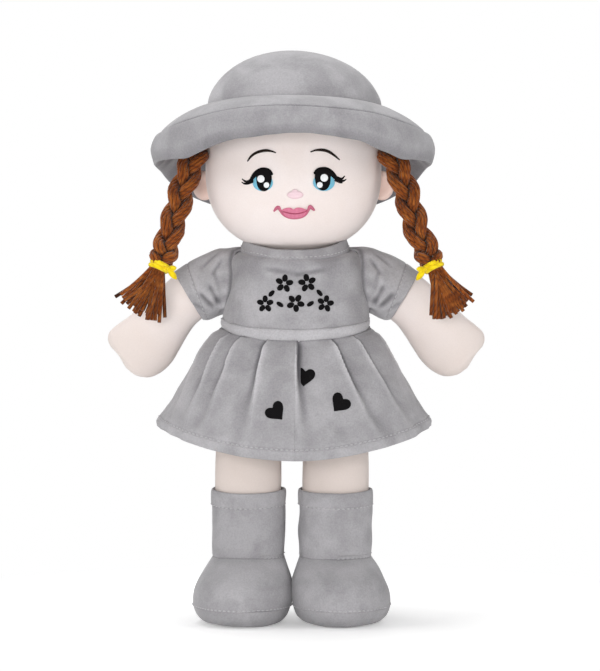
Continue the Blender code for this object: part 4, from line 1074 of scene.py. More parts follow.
def braid_tie(side, sign, place, down, across, ahead):
    """Two rings of yarn round the braid, a knot on the inner side, and two ends like small leaves."""
    a = np.linspace(0, 2 * math.pi, 49)[:-1, None]
    loops = []
    for shift in (-1.5, 1.4):
        ring = place + down * shift * MM
        ring = ring + TIE_REACH[0] * np.cos(a) * across + TIE_REACH[1] * np.sin(a) * ahead
        loops.append(tube_parts(closed(ring), TIE_RADIUS, 10))
    made = to_object(f"braid_{side}_tie_yarn", loops, TIE)
    fit(made, f"braid_{side}", "yellow_yarn", f"braid_{side}_tie")
    inward = -sign * across * np.sign(across[0])
    knot = place + inward * 6.5 * MM - ahead * np.sign(ahead[1]) * 4.5 * MM
    t = np.linspace(-1, 1, 9)
    ends = [tube_parts(knot + t[:, None] * down * 1.6 * MM, 2.2 * MM * np.sqrt(1.02 - t**2), 12)]
    t = np.linspace(0, 1, 9)
    width = 1.0 * MM + 1.1 * MM * np.sin(math.pi * np.clip(t * 0.9 + 0.05, 0, 1))
    width = width * np.sqrt(np.clip(1.05 - t**6, 0.05, 1))
    for lift in (0.55, -0.75):
        leaf = knot + inward * t[:, None] * 6.2 * MM + np.array([0, 0, lift]) * t[:, None] * 6.0 * MM
        ends.append(tube_parts(leaf, width, 10))
    made = to_object(f"braid_{side}_knot_yarn", ends, TIE)
    fit(made, f"braid_{side}", "yellow_yarn", f"braid_{side}_knot")


# %% The tassel below the tie
TASSEL_YARNS = 40
TASSEL_SPREAD = 62  # degrees from the innermost yarn to the outermost


def braid_tassel(side, sign, place, across, ahead):
    """Loose yarns that fan outwards below the tie: each path leaves one direction for another."""
    parts = []
    for k in range(TASSEL_YARNS):
        share = (k + 0.5) / TASSEL_YARNS
        lean = math.radians(-3 + TASSEL_SPREAD * share + rng.uniform(-3, 3))
        fore = math.radians(rng.uniform(-13, 13)) * (1 - 0.5 * abs(share - 0.5))
        length = (37.5 - 3.0 * share + rng.uniform(-4.5, 1.2)) * MM
        t = np.linspace(0, 1, 14)[:, None]
        root = place + across * rng.uniform(-3.6, 3.6) * MM + ahead * rng.uniform(-3.6, 3.6) * MM
        last = np.array([sign * math.sin(lean), math.sin(fore), -math.cos(lean)])
        lean = lean * 0.75
        first = np.array([sign * math.sin(lean), math.sin(fore) * 0.5, -math.cos(lean)])
        path = root + length * (first * (t - t**2 / 2) + last * t**2 / 2)
        path = path + BACK * 0.5 * MM * np.sin(t * 7 + k)
        parts.append(tube_parts(path, 1.28 * MM))
    made = to_object(f"braid_{side}_tassel_yarns", parts, HAIR)
    points = np.concatenate([part[0] for part in parts])
    # Painted shade: a random amount for each yarn, and more on the yarns at the back
    shade = np.repeat(rng.uniform(0.0, 0.4, TASSEL_YARNS), len(points) // TASSEL_YARNS)
    behind = np.clip((points[:, 1] - place[1] + 1.5 * MM) / (6 * MM), 0, 1)
    paint_shade_and_tone(made, shade + behind * 0.7)
    fit(made, f"braid_{side}", "brown_yarn", f"braid_{side}_tassel")


# %% The yarns over a braid's root
FAN_YARNS = 13


def yarn_fan(side, sign, low_end, across, ahead):
    """Thirteen yarns sewn to the head in a row, which bulge outwards and run down into the braid."""
    parts = []
    for k in range(FAN_YARNS):
        place = k / (FAN_YARNS - 1)
        arch = math.sin(place * 3.1)
        top = np.array([sign * (59.0 + 3.0 * arch), -25 + 25 * place, 343 + 2 * arch]) * MM
        top[0] += HEAD_X
        low = low_end + across * (place - 0.5) * 7 * MM * sign
        low = low + ahead * (-2.0 + 4.0 * abs(place - 0.5)) * MM
        bulge = np.array([HEAD_X + sign * 67.5 * MM, (-20 + 15 * place) * MM, 333 * MM])
        between = (bulge + low) / 2 + np.array([sign * 1.5 * MM, -1.0 * MM, 0])
        parts.append(tube_parts(through(np.array([top, bulge, between, low]), 24), 1.45 * MM))
    fit(to_object(f"yarn_fan_{side}", parts, HAIR), "head", "brown_yarn", f"yarn_root_{side}")


# %% Both braids
FAN_JOINS = 14  # the point of the middle line where the root's yarns go into the braid
for side, sign in SIDES:
    middle = braid_middle(side, 130)
    way, across, ahead = axes_along(middle)
    braid_strands(side, sign, middle, across, ahead)
    braid_tie(side, sign, middle[-1], way[-1], across[-1], ahead[-1])
    braid_tassel(side, sign, middle[-1], across[-1], ahead[-1])
    yarn_fan(side, sign, middle[FAN_JOINS], across[FAN_JOINS], ahead[FAN_JOINS])

# %% [markdown]
# ## Body, bodice, collar and waistband
#
# The body is a stuffed velour bag, and the bodice is a plush tube pulled over it, so both are level
# ovals of nearly the same width. The bodice is drawn with its wall: an outer grid, and an inner one
# set in by the cloth's thickness, closed at the neckline and at the waist. Pulls run from the
# armpits, the shoulders and the collar, where the seams gather the cloth.
#
# The collar and the waistband are strips of the same plush, folded and sewn on. Both dip in front.
# The waistband is drawn a plain tone paler than the bodice, and the collar a little darker.

# %% The stuffed body
levels = np.array([183.8, 184.6, 187.5, 195, 205, 220, 240, 250, 254.5, 256.0]) * MM
wide = np.array([30, 38, 44, 47, 47.6, 46.0, 44.4, 42.5, 38, 30]) * MM
deep = np.array([18, 24, 28.5, 30.8, 31.2, 31.0, 30.4, 29.5, 26, 20]) * MM
stations = through(np.stack([levels, wide, deep], axis=1), 50)
body_grid = ovals(0, 0, stations[:, 0], stations[:, 1], stations[:, 2], 96)
collar_dip = np.clip((body_grid[..., 2] - 232 * MM) / (24 * MM), 0, 1) ** 2
body_grid[..., 2] -= collar_dip * 7.0 * MM * ((1 + np.cos(turns(96))) / 2)[None] ** 2
made = surface("body_bag", body_grid, SKIN)
fit(made, "torso", "skin_velour", "torso_skin", "torso_stuffing")

# %% The bodice
BODICE = (
    (198.8, 50.0, 33.5), (210.0, 50.4, 33.8), (215.5, 49.6, 33.6), (227.5, 47.7, 33.4), (241.5, 46.4, 33.0),
    (250.5, 45.6, 32.2), (255.0, 43.6, 31.0), (257.8, 40.0, 29.2), (258.6, 36.6, 27.4),
)
# On each side: the two ends of a pull, its depth and its width. Five run from the armpit and two
# from the shoulder. Two more cross under the collar.
ARMPIT, SHOULDER = (47, -24, 222), (41, -24, 255)
BODICE_PULLS = (
    ((ARMPIT, (33, -33, 233)), 1.5, 2.3), ((ARMPIT, (29, -33, 243)), 1.1, 2.3),
    ((ARMPIT, (27, -34, 222)), 1.2, 2.3), ((ARMPIT, (35, -32, 212)), 1.4, 2.3),
    ((ARMPIT, (40, -28, 207)), 1.0, 2.3), ((SHOULDER, (37, -30, 243)), 1.4, 2.0),
    ((SHOULDER, (31, -32, 240)), 1.0, 2.0),
)
COLLAR_PULLS = (((-26, -31, 246), (4, -32, 241)), ((0, -32, 241), (27, -31, 246)))
DEEPEST_PULL = 1.8


def bodice_reach(y, z):
    """How far the bodice reaches sideways at a depth and a height: its oval solved for x."""
    wide, deep = (MM * smooth([(s[0], s[k]) for s in BODICE], z / MM) for k in (1, 2))
    return wide * np.sqrt(np.maximum(0.0, 1 - (y / deep) ** 2))


stations = through(np.array(BODICE) * MM, 90)
turn = turns(220)[None, :]
neck = np.clip((stations[:, :1] - 232 * MM) / (26 * MM), 0, 1) ** 2
outer = ovals(0, 0, stations[:, 0], stations[:, 1], stations[:, 2], 220)
outer[..., 2] -= neck * 6.0 * MM * ((1 + np.cos(turn)) / 2) ** 2
# The waist sits a little to the left
outer[..., 0] -= 0.9 * MM * np.clip((228 * MM - outer[..., 2]) / (16 * MM), 0, 1)
low = np.clip((216 * MM - outer[..., 2]) / (18 * MM), 0, 1)
outer[..., 2] -= low * 5.2 * MM * ((1 + np.cos(turn)) / 2) ** 2
swell = 0.5 * lumps(outer, 55 * MM, 21) + 0.35 * lumps(outer, 22 * MM, 22)
pulls = 0 * swell
for sign in (-1, 1):
    for ends, depth, width in BODICE_PULLS:
        start, end = mm(*ends) * (sign, 1, 1)
        pulls += depth * crease(outer, start, end, width * MM)
for ends, width in (COLLAR_PULLS[0], 2.0), (COLLAR_PULLS[1], 1.8):
    pulls += 0.9 * crease(outer, *mm(*ends), width * MM)
pulls = DEEPEST_PULL * np.tanh(pulls / DEEPEST_PULL)
out = normals_of(outer)
outer += out * ((swell - pulls) * MM)[..., None]
made = to_object("bodice_cloth", [shell_parts(outer, outer - out * 1.7 * MM, True)], PLUSH)
# The upper chest is drawn darker in front, fading towards the waist and the back. Painted shade lies
# in the pulls and the hollows
darkening = 0.26 * np.clip((outer[..., 2] - 224 * MM) / (22 * MM), 0, 1)
darkening = darkening * np.clip(-outer[..., 1] / (20 * MM), 0, 1)
paint_shade_and_tone(made, 0.2 * pulls + 0.7 * hollow(swell - pulls, 4, 4) + darkening)
fit(made, "torso", "grey_plush", "bodice")
bodice_front = on_front(outer)


# %% Collar and waistband
def tilt(turn):
    """How far forward a point lies, from 0 at the back to 1 in front, eased at the sides."""
    return (np.cos(turn) + np.sqrt(np.cos(turn) ** 2 + 0.04)) / 2


def band(name, node, sizes, cloth, bulge, lean, slim, darkening):
    """A folded strip round the body: ovals whose section bulges by a half sine between its seams.

    The sizes are its height above the floor, half width, half depth, height, dip in front and shift
    sideways, all in mm, like the cloth's thickness and the bulge. It leans in towards its top, it is
    slimmer at the sides by a share, and it is drawn darker by a share, paler where that is negative.
    Painted shade lies beside its two seams.
    """
    middle, half_width, half_depth, height, dip, shift = sizes
    t = np.linspace(0, 1, 17)[:, None]
    turn = turns(240)[None, :]
    swell = (bulge * np.sin(math.pi * t) ** 0.7 + lean * t) * MM
    tall = height * (1 - slim * np.sin(turn) ** 2)
    lift = (middle + tall * (t - 0.5) - dip * tilt(turn)) * MM
    grid = np.stack(
        [
            shift * MM + (half_width * MM + swell) * np.sin(turn),
            -(half_depth * MM + swell) * np.cos(turn),
            lift,
        ],
        axis=2,
    )
    grid[..., 2] += 0.25 * MM * lumps(grid, 25 * MM, 31)
    out = normals_of(grid)
    grid += out * (0.25 * MM * lumps(grid, 17 * MM, 33))[..., None]
    made = to_object(name, [shell_parts(grid, grid - out * cloth * MM, True)], PLUSH)
    paint_shade_and_tone(made, 0.6 * bell(t, 0.07) + 0.5 * bell(1 - t, 0.06) + darkening + 0 * turn)
    return fit(made, "torso", "grey_plush", node), grid, out


collar, collar_grid, collar_out = band(
    "collar_strip", "collar_band", (262.4, 37.8, 30.6, 7.2, 7.9, -1.2),
    cloth=1.8, bulge=0.5, lean=-3.2, slim=-0.3, darkening=0.15,
)
waist, waist_grid, waist_out = band(
    "waistband_strip", "waistband", (208.6, 50.3, 34.2, 9.0, 8.8, -0.8),
    cloth=1.6, bulge=1.2, lean=0.0, slim=0.24, darkening=-0.45,
)
for name, grid, out, row in (
    ("collar_stitches", collar_grid, collar_out, 5), ("waistband_top_stitches", waist_grid, waist_out, 14),
):
    path = closed(grid[row]) + closed(out[row]) * 0.2 * MM
    fit(stitches(name, path, closed(out[row]), 3.2 * MM, 2.0 * MM, FINE_STITCH), "torso", None)

# %% [markdown]
# ## Skirt
#
# The skirt is one flared sheet, sewn to the waistband in pleats. Here it is made in a left half and
# a right half, because each half folds up with its own leg when the doll sits. Both come from one
# function of the angle and the share of the way down, so they meet edge to edge at the centre.
#
# A knife pleat rises slowly towards its fold and then drops at once to the next panel. Its formula
# is a ramp up to the fold's angle and a quick bell-shaped fall after it. A fold runs a little
# slantwise, so its angle is given at the waist and at the hem.

# %% The skirt's surface
SKIRT_TOP, WAIST_DROP = 205.2 * MM, 8.8 * MM
SKIRT_WIDE = (
    (0, 51.8), (0.05, 56.6), (0.117, 60.8), (0.18, 64.0), (0.366, 71.6), (0.592, 81.0), (0.718, 86.0),
    (0.844, 91.6), (0.95, 96.6), (1.0, 96.2),
)
SKIRT_DEEP = (
    (0, 35.2), (0.05, 38.6), (0.117, 42.0), (0.18, 44.6), (0.366, 52.0), (0.592, 60.4), (0.718, 64.4),
    (0.844, 68.4), (0.95, 71.6), (1.0, 71.4),
)
# Fold angle at the waist, at the hem, depth in mm, and the side that it drops to
PLEATS = (
    (-84, -62, 3.6, -1), (-62, -52, 4.6, -1), (-46, -42, 4.2, -1), (-22, -20, 5.0, -1), (1, 2.4, 5.0, 1),
    (28, 39, 4.8, 1), (49, 58, 4.4, 1), (82, 76, 3.6, 1), (112, 108, 4.0, 1), (142, 138, 4.0, 1),
    (172, 168, 4.0, 1), (-118, -110, 4.0, -1), (-150, -146, 4.0, -1),
)


RAMP = 17  # degrees over which a pleat rises to its fold
# Soft dents in the skirt's front: their ends, depth and width
SKIRT_DENTS = (
    ((2, -60, 158), (6, -64, 148), 2.0, 3.0), ((6, -64, 148), (3, -66, 142), 1.8, 2.8),
    ((-34, -55, 168), (-40, -58, 152), 1.4, 4.0), ((-16, -62, 146), (-4, -66, 138), 1.0, 4.5),
    ((26, -63, 140), (36, -60, 131), 1.1, 4.0), ((-58, -48, 160), (-66, -46, 150), 1.0, 4.0),
    ((50, -52, 150), (60, -48, 138), 1.0, 4.5),
)
HEM_SIDE, HEM_FRONT, HEM_BACK = 136.0 * MM, 117.0 * MM, 122.0 * MM
HEM_LINE = 0.905  # share of the way down where the hem is stitched


def skirt_hem(turn):
    """Height of the hem: lowest in front, highest at the sides, by the square of the cosine."""
    lowest = np.where(np.cos(turn) > 0, HEM_FRONT, HEM_BACK)
    return HEM_SIDE + (lowest - HEM_SIDE) * np.cos(turn) ** 2


def pleat_rise(turn, down):
    """How far the pleats stand out, in mm: a ramp up to each fold, a step down, and a slow return."""
    angle = np.degrees(turn)
    total = 0 * angle * down
    for at_waist, at_hem, depth, way in PLEATS:
        at = at_waist + (at_hem - at_waist) * down
        past = ((angle - at + 180) % 360 - 180) * way
        ramp = np.clip((past + RAMP) / RAMP, 0, 1) ** 1.8 * (past <= 0)
        step = bell(past, 0.45 + 6.0 * np.clip(down - 0.3, 0, 1))
        dip = -0.55 * (1 - step) * np.exp(-past / 7.0)
        fade = bell(down, 0.62) * 0.82 + 0.18
        total = total + depth * (ramp * 0.75 + (step * 0.75 + dip) * (past > 0)) * fade
    return total


def pleat_shade(turn, down):
    """Painted shade beside the folds: most right under a fold's edge near the waist."""
    angle = np.degrees(turn)
    total = 0 * angle * down
    for at_waist, at_hem, depth, way in PLEATS:
        past = ((angle - at_waist - (at_hem - at_waist) * down + 180) % 360 - 180) * way
        sharp = 0.95 * np.exp(-past / (1.1 + 2.5 * down)) * bell(down, 0.5)
        soft = 0.42 * np.exp(-past / 7.5) * bell(down, 0.42)
        total = total + depth * 0.2 * (sharp + soft) * (past > -0.3)
    return total


def skirt_shape(turn, down):
    """The skirt's plain flare at an angle and a share of the way down, and how far folds stand out."""
    top = SKIRT_TOP - WAIST_DROP * tilt(turn)
    height = top + (skirt_hem(turn) - top) * down
    wide, deep = MM * smooth(SKIRT_WIDE, down), MM * smooth(SKIRT_DEEP, down)
    shift = (-0.7 - 0.9 * np.clip(down * 5, 0, 1)) * MM
    flat = np.stack([shift + wide * np.sin(turn), -deep * np.cos(turn), height + 0 * down], axis=2)
    waves = 1.1 * down * np.sin(7.3 * turn + 1.1) * np.clip(down * 1.6 - 0.2, 0, 1)
    soft = 0.8 * lumps(flat, 48 * MM, 41) * np.clip(down * 3, 0, 1) + 0.3 * lumps(flat, 17 * MM, 42)
    dents = 0
    for start, end, depth, width in SKIRT_DENTS:
        dents = dents + depth * crease(flat, *mm(start, end), width * MM)
    out = (pleat_rise(turn, down) - 1.2) * np.clip(down * 14 + 0.25, 0, 1) + waves * 0.6 + soft * 0.9 - dents
    return flat, out - 0.5 * bell(down - HEM_LINE, 0.012)


def skirt_grid(turn, down):
    """Points of the skirt's outer face at an angle and a share of the way down."""
    flat, out = skirt_shape(turn, down)
    grow = np.stack([out * np.sin(turn), -out * np.cos(turn), 0 * out], axis=2)
    return flat + grow * MM


# %% The two halves of the skirt
SKIRT_ROWS, SKIRT_COLUMNS, STITCHED_ROW = 110, 420, 99
down = np.linspace(0, 1, SKIRT_ROWS)[:, None]
for side, sign in SIDES:
    first, last = (0.0, math.pi) if sign > 0 else (-math.pi, 0.0)
    turn = np.linspace(first, last, SKIRT_COLUMNS)[None, :]
    outer = skirt_grid(turn, down)
    out = normals_of(outer, wrap=False)
    out = -out if out[40, 210, 0] * sign < 0 else out
    # At the centre front and back the cloth faces straight ahead and behind, so the halves meet
    out[:, 0], out[:, -1] = (0, -sign, 0), (0, sign, 0)
    thick = (1.7 + 0.8 * (down > HEM_LINE)) * MM
    shell = shell_parts(outer, outer - out * thick[..., None], False, True)
    made = to_object(f"skirt_cloth_{side}", [shell], PLUSH)
    # Painted shade beside the pleats' folds, in the hollows and along the waist seam
    shade = 0.75 * pleat_shade(turn, down) + 0.33 * hollow(skirt_shape(turn, down)[1], 4, 9, wrap=False)
    paint_shade_and_tone(made, shade + 0.35 * bell(down, 0.012))
    fit(made, "torso", "grey_plush", f"skirt_{side}")
    path, away = outer[STITCHED_ROW], out[STITCHED_ROW]
    fit(stitches(f"skirt_hem_stitches_{side}", path + away * 0.25 * MM, away), "torso", None)

across_front = np.linspace(-1.2, 1.2, SKIRT_COLUMNS)[None, :]
skirt_front = on_front(skirt_grid(across_front, np.linspace(0.05, 0.95, 220)[:, None])[::-1])

# %% [markdown]
# ## Hearts and the chest motif
#
# Three black hearts are stitched on the skirt, and a small sprig of flowers on the chest. All are
# satin stitch, like the face, and each lies on the cloth under it: a function finds the nearest
# point of the dress from the front and takes its depth.


# %% Hearts
def heart(x, z, size, lean):
    """A plump heart's outline, in mm: a sine cubed and a sine across, four cosines added up."""
    t = turns(72)
    across = 12.2 * np.sin(t) ** 3 + 3.8 * np.sin(t)
    up = 13.3 * np.cos(t) - 4.2 * np.cos(2 * t) - 1.6 * np.cos(3 * t) - 0.6 * np.cos(4 * t) - 1
    unit = size / 32
    return leaning(x, z, unit * across, unit * up, lean)[::-1] * MM


HEART_SIZE = 13.8
HEARTS = (
    ("heart_top", "right", 5.6, 173.6, -8),
    ("heart_left", "left", -14.7, 150.2, 40),
    ("heart_right", "right", 29.9, 155.6, -38),
)
HALVES_GAP = 2.6 * MM  # the top heart keeps to its own half of the skirt
for name, side, x, z, lean in HEARTS:
    outline = heart(x, z, HEART_SIZE, lean)
    if name == "heart_top":
        outline[:, 0] = np.maximum(outline[:, 0], HALVES_GAP)
    raised = pad(outline, skirt_front, 0.7 * MM, 0.15 * MM, lean + 90)
    fit(to_object(f"{name}_thread", [raised], BLACK), "torso", "black_thread", name)


# %% The flower sprig on the chest
def flower(x, z, size, turned):
    """Five petals round an eye, in mm: each is an oval that points away from the middle."""
    parts = []
    for k in range(5):
        a = math.radians(turned + 72 * k)
        cx, cz = x + size * 0.58 * math.sin(a), z + size * 0.58 * math.cos(a)
        petal = oval(cx, cz, size * 0.30, size * 0.40, -math.degrees(a), count=24)
        parts.append(pad(petal, bodice_front, 0.6 * MM, grain=-math.degrees(a) + 90, rows=9))
    return parts


FLOWERS = (
    (-8.5, 235.2, 6.4, 8), (7.2, 235.6, 6.4, -10),
    (-21.5, 221.2, 6.0, 0), (-0.8, 222.0, 6.4, 30), (19.6, 221.4, 6.0, 12),
)
LEAVES = ((-11.4, 221.0, 58), (9.4, 221.4, -58), (-17.2, 228.4, -42), (15.6, 228.8, 42))
parts = []
for x, z, size, turned in FLOWERS:
    parts += flower(x, z, size, turned)
for x, z, lean in LEAVES:
    parts.append(pad(oval(x, z, 1.5, 2.7, lean, count=24), bodice_front, 0.5 * MM, grain=lean, rows=9))
fit(to_object("chest_sprig_thread", parts, BLACK), "torso", "black_thread")

# %% [markdown]
# ## Sleeves
#
# A short set-in sleeve is a tube whose inner end is sewn round the armhole and whose hem stands free
# of the arm. It is given as rings: each has a highest point, a lowest point and a half depth. The
# first ring lies on the bodice, found from the bodice's own oval.

# %% Sleeves
SLEEVE_RINGS = (
    (47.5, 259.6, 51.0, 214.6, 16.5), (52.5, 258.9, 52.4, 213.0, 18.0), (58.5, 256.8, 54.8, 211.4, 19.0),
    (67.0, 253.2, 58.0, 209.8, 19.0), (76.0, 248.0, 61.5, 208.8, 18.4), (84.8, 242.2, 65.0, 209.4, 17.4),
)
SLEEVE_Y = 6.0 * MM
# Pulls in the front of the sleeve: their two ends and depth
SLEEVE_PULLS = (
    ((52, -8, 219), (60, -13, 233), 2.4), ((56, -9, 216), (67, -13, 228), 2.2),
    ((61, -9, 213), (72, -12, 221), 1.6), ((53, -10, 228), (57, -13, 245), 1.2),
    ((49, -8, 256), (58, -13, 241), 1.7), ((54, -4, 257), (67, -10, 246), 1.3),
)
SLEEVE_ROWS, SLEEVE_HEM_ROW = 70, 56


def rings_between(stations, count, columns, sign, y):
    """Rings from high and low points and half depths: the middle of both, plus cosine and sine."""
    s = through(np.array(stations) * MM, count)
    turn = turns(columns)[None, :]
    high, low = s[:, :2], s[:, 2:4]
    middle, half = (high + low) / 2, (high - low) / 2
    x = middle[:, :1] + half[:, :1] * np.cos(turn)
    z = middle[:, 1:] + half[:, 1:] * np.cos(turn)
    depth = y - s[:, 4:5] * np.sin(turn)
    return np.stack([sign * x, depth + 0 * x, z], axis=2)


for side, sign in SIDES:
    outer = rings_between(SLEEVE_RINGS, SLEEVE_ROWS, 160, sign, SLEEVE_Y)
    t = np.linspace(0, 1, SLEEVE_ROWS)[:, None]
    laid = np.clip(1 - t / 0.22, 0, 1) ** 1.5
    reach = bodice_reach(outer[..., 1], outer[..., 2]) - 0.9 * MM
    outer[..., 0] = sign * (np.abs(outer[..., 0]) * (1 - laid) + reach * laid)
    out = normals_of(outer)
    out = -out if out[40, 0, 2] < 0 else out
    turn = turns(160)[None, :]
    swell = 0.5 * lumps(outer, 26 * MM, 50 + sign) + 0.35 * lumps(outer, 13 * MM, 52 + sign)
    gathers = bell(t, 0.3) * np.clip(t * 9, 0, 1) * np.sin(turn * 11)
    gathers = gathers * np.clip(0.5 - np.cos(turn) * 0.6, 0.2, 1)
    pulls = 0 * swell
    for start, end, depth in SLEEVE_PULLS:
        pulls = pulls + depth * crease(outer, *(mm(start, end) * (sign, 1, 1)), 1.7 * MM)
    pulls = 2.4 * np.tanh(pulls / 2.4)
    hem = bell(t - 0.8, 0.016) + 0 * turn
    swell = ((swell + 1.2 * gathers) * (1 - 0.6 * t) - pulls - 0.5 * hem) * np.clip(t * 8, 0, 1)
    shade = 0.2 * pulls + 0.75 * bell(t - 0.05, 0.035) + 0.6 * hollow(swell, 4, 5)
    outer = outer + out * (swell * MM)[..., None]
    shell = shell_parts(outer, outer - out * 1.6 * MM, True, sign > 0)
    made = to_object(f"sleeve_cloth_{side}", [shell], PLUSH)
    paint_shade_and_tone(made, shade)
    fit(made, None, "grey_plush", f"sleeve_{side}")
    path, away = closed(outer[SLEEVE_HEM_ROW]), closed(out[SLEEVE_HEM_ROW])
    made = stitches(f"sleeve_hem_stitches_{side}", path + away * 0.1 * MM, away, radius=FINE_STITCH)
    fit(made, None, None)

# %% [markdown]
# ## Arms and legs
#
# The arms and legs are stuffed velour tubes. An arm runs down and out to a mitten hand, whose thumb
# side is a shallow bend in the lower edge. Its rings are given like the sleeve's, by an upper and a
# lower point seen from the front.
#
# The legs are drawn darker all over with a painted shadow of the skirt, and the arms a little darker
# towards the hands.

# %% Arms
ARM_RINGS = (
    (50.5, 242.0, 48.5, 232.0, 4.0), (54.0, 246.5, 48.5, 226.0, 9.5), (62.0, 248.0, 51.0, 221.5, 13.0),
    (73.0, 246.6, 56.5, 219.0, 14.2), (86.0, 238.9, 64.0, 210.9, 14.5), (101.0, 225.4, 70.5, 204.9, 14.5),
    (115.5, 212.4, 76.0, 196.9, 14.5), (124.0, 206.1, 81.0, 188.4, 14.0), (129.6, 200.9, 86.5, 179.9, 13.0),
    (131.0, 195.9, 93.5, 173.4, 12.0), (129.5, 190.9, 102.0, 169.7, 10.0), (126.0, 187.2, 111.0, 170.9, 7.0),
    (123.6, 184.6, 118.0, 175.6, 3.5),
)
for side, sign in SIDES:
    arm = rings_between(ARM_RINGS, 110, 96, sign, SLEEVE_Y)
    out = normals_of(arm)
    out = -out if out[50, 0, 2] < 0 else out
    arm += out * (0.5 * MM * lumps(arm, 50 * MM, 60 + sign))[..., None]
    made = surface(f"arm_bag_{side}", arm, SKIN, flip=sign > 0)
    # A little darker towards the hand
    paint_shade_and_tone(made, smooth(((0.3, 0), (0.8, 0.4)), np.linspace(0, 1, 110))[:, None] + 0 * arm[..., 2])
    fit(made, f"arm_{side}", "skin_velour", f"arm_{side}_skin", f"arm_{side}_stuffing")

# %% Legs
LEG_X = {"left": -33.4, "right": 26.8}
# Height above the floor, half width and half depth
LEG = (
    (83, 17, 15), (84, 20, 18), (88, 22.4, 20.0), (96, 22.9, 20.4), (110, 22.9, 20.5),
    (125, 22.7, 20.5), (150, 22.9, 20.5), (165, 22.5, 20.2), (173, 20.5, 18.5), (178, 17.0, 15.0),
    (181, 12.0, 10.0), (182.4, 6.0, 4.0),
)
for side, sign in SIDES:
    stations = through(mm(*LEG), 90)
    leg = ovals(LEG_X[side] * MM, 0, stations[:, 0], stations[:, 1], stations[:, 2], 96)
    leg += normals_of(leg) * (0.4 * MM * lumps(leg, 60 * MM, 70 + sign))[..., None]
    made = surface(f"leg_bag_{side}", leg, SKIN)
    # Painted shadow of the skirt, laid evenly over the whole leg
    paint_shade_and_tone(made, 0.55 + 0 * leg[..., 2])
    fit(made, f"leg_{side}", "skin_velour", f"leg_{side}_skin", f"leg_{side}_stuffing")

# %% [markdown]
# ## Boots
#
# Each boot has four plush pieces: a turned cuff, a straight shaft, a foot shaped like a loaf, and a
# padded sole. They meet in seams that are drawn in a little, with a row of stitches beside each.
# The foot is the shaft's oval at the ankle and grows forward as it falls, so
# its middle moves too.

# %% Boots
FOOT = (
    (12.0, 33.4, 41.9, -8.0), (13.2, 33.8, 42.3, -8.0), (18.5, 34.3, 42.8, -8.0), (24.0, 34.0, 42.4, -7.8),
    (30.0, 32.4, 40.2, -6.8), (36.0, 29.7, 35.2, -4.8), (40.5, 27.5, 30.0, -2.6), (43.6, 26.0, 25.8, -0.9),
    (45.6, 25.0, 23.0, 0.0),
)
SOLE = (
    (0.2, 18.0, 24.0, -8.0), (0.6, 22.5, 29.0, -8.0), (1.8, 26.5, 33.5, -8.0), (3.5, 29.0, 36.2, -8.0),
    (6.0, 31.2, 38.8, -8.0), (9.0, 32.6, 40.7, -8.0), (11.4, 33.3, 41.8, -8.0), (12.0, 33.3, 41.8, -8.0),
    (12.2, 32.6, 41.0, -8.0),
)
SHAFT = (
    (45.4, 24.4, 22.2, 0), (46.4, 25.0, 22.8, 0), (55, 25.4, 23.1, 0), (68, 25.3, 23.1, 0),
    (78, 25.2, 23.0, 0), (82.0, 25.1, 22.8, 0),
)
CUFF = (
    (81.8, 25.2, 22.8, 0), (82.8, 25.8, 23.4, 0), (86, 26.0, 23.6, 0), (90, 26.0, 23.6, 0),
    (92.2, 25.6, 23.2, 0), (92.9, 24.8, 22.4, 0),
)
TOES_OUT = 4.3  # mm by which the foot stands further out than the leg


def boot_part(stations, centre, centre_top, rows, seed, dip=0.0, uneven=0.5):
    """Level ovals through stations of height, half width, half depth and middle, in mm."""
    s = through(np.asarray(stations) * MM, rows)
    t = (s[:, :1] - s[0, 0]) / (s[-1, 0] - s[0, 0])
    grid = ovals(0, s[:, 3], s[:, 0], s[:, 1], s[:, 2], 140, dip=dip * MM)
    grid[..., 0] += (centre + (centre_top - centre) * t) * MM
    out = normals_of(grid)
    bumps = lumps(grid, 42 * MM, seed) + 0.5 * lumps(grid, 18 * MM, seed + 1)
    grid += out * (uneven * MM * bumps)[..., None]
    return grid, out


# %% Sole and foot
def boot_sole(side, sign, foot_x):
    """The padded sole, kept just above the floor."""
    grid, _ = boot_part(SOLE, foot_x, foot_x, 30, 80 + sign, uneven=0.25)
    grid[..., 2] = np.maximum(grid[..., 2], 0.05 * MM)
    made = surface(f"boot_sole_{side}", grid, PLUSH)
    fit(made, f"leg_{side}", "grey_plush", f"boot_{side}_sole")


def boot_foot(side, sign, foot_x, ankle_x):
    """The stuffed foot, with painted shade beside its two seams and a painted highlight on the instep."""
    grid, out = boot_part(FOOT, foot_x, ankle_x, 60, 83 + sign)
    made = surface(f"boot_foot_{side}", grid, PLUSH)
    t = np.linspace(0, 1, 60)[:, None]
    seam_shade = 0.6 * bell(t, 0.02) + 0.5 * bell(1 - t, 0.03)
    paint_shade_and_tone(made, seam_shade - 0.3 * bell(t - 0.75, 0.15) + 0 * grid[..., 0])
    fit(made, f"leg_{side}", "grey_plush", f"boot_{side}_foot", f"foot_{side}_stuffing")
    return "sole", grid[7], out[7]


# %% Shaft and cuff
def boot_shaft(side, sign, ankle_x):
    """The straight shaft. The left one is drawn a little darker than the right one."""
    grid, out = boot_part(SHAFT, ankle_x, ankle_x, 50, 86 + sign, uneven=0.35)
    made = to_object(f"boot_shaft_{side}", [shell_parts(grid, grid - out * 2.0 * MM, True)], PLUSH)
    paint_shade_and_tone(made, 0.06 - 0.07 * sign + 0 * grid[..., 0])
    fit(made, f"leg_{side}", "grey_plush", f"boot_{side}_shaft")
    return "ankle", grid[2], out[2]


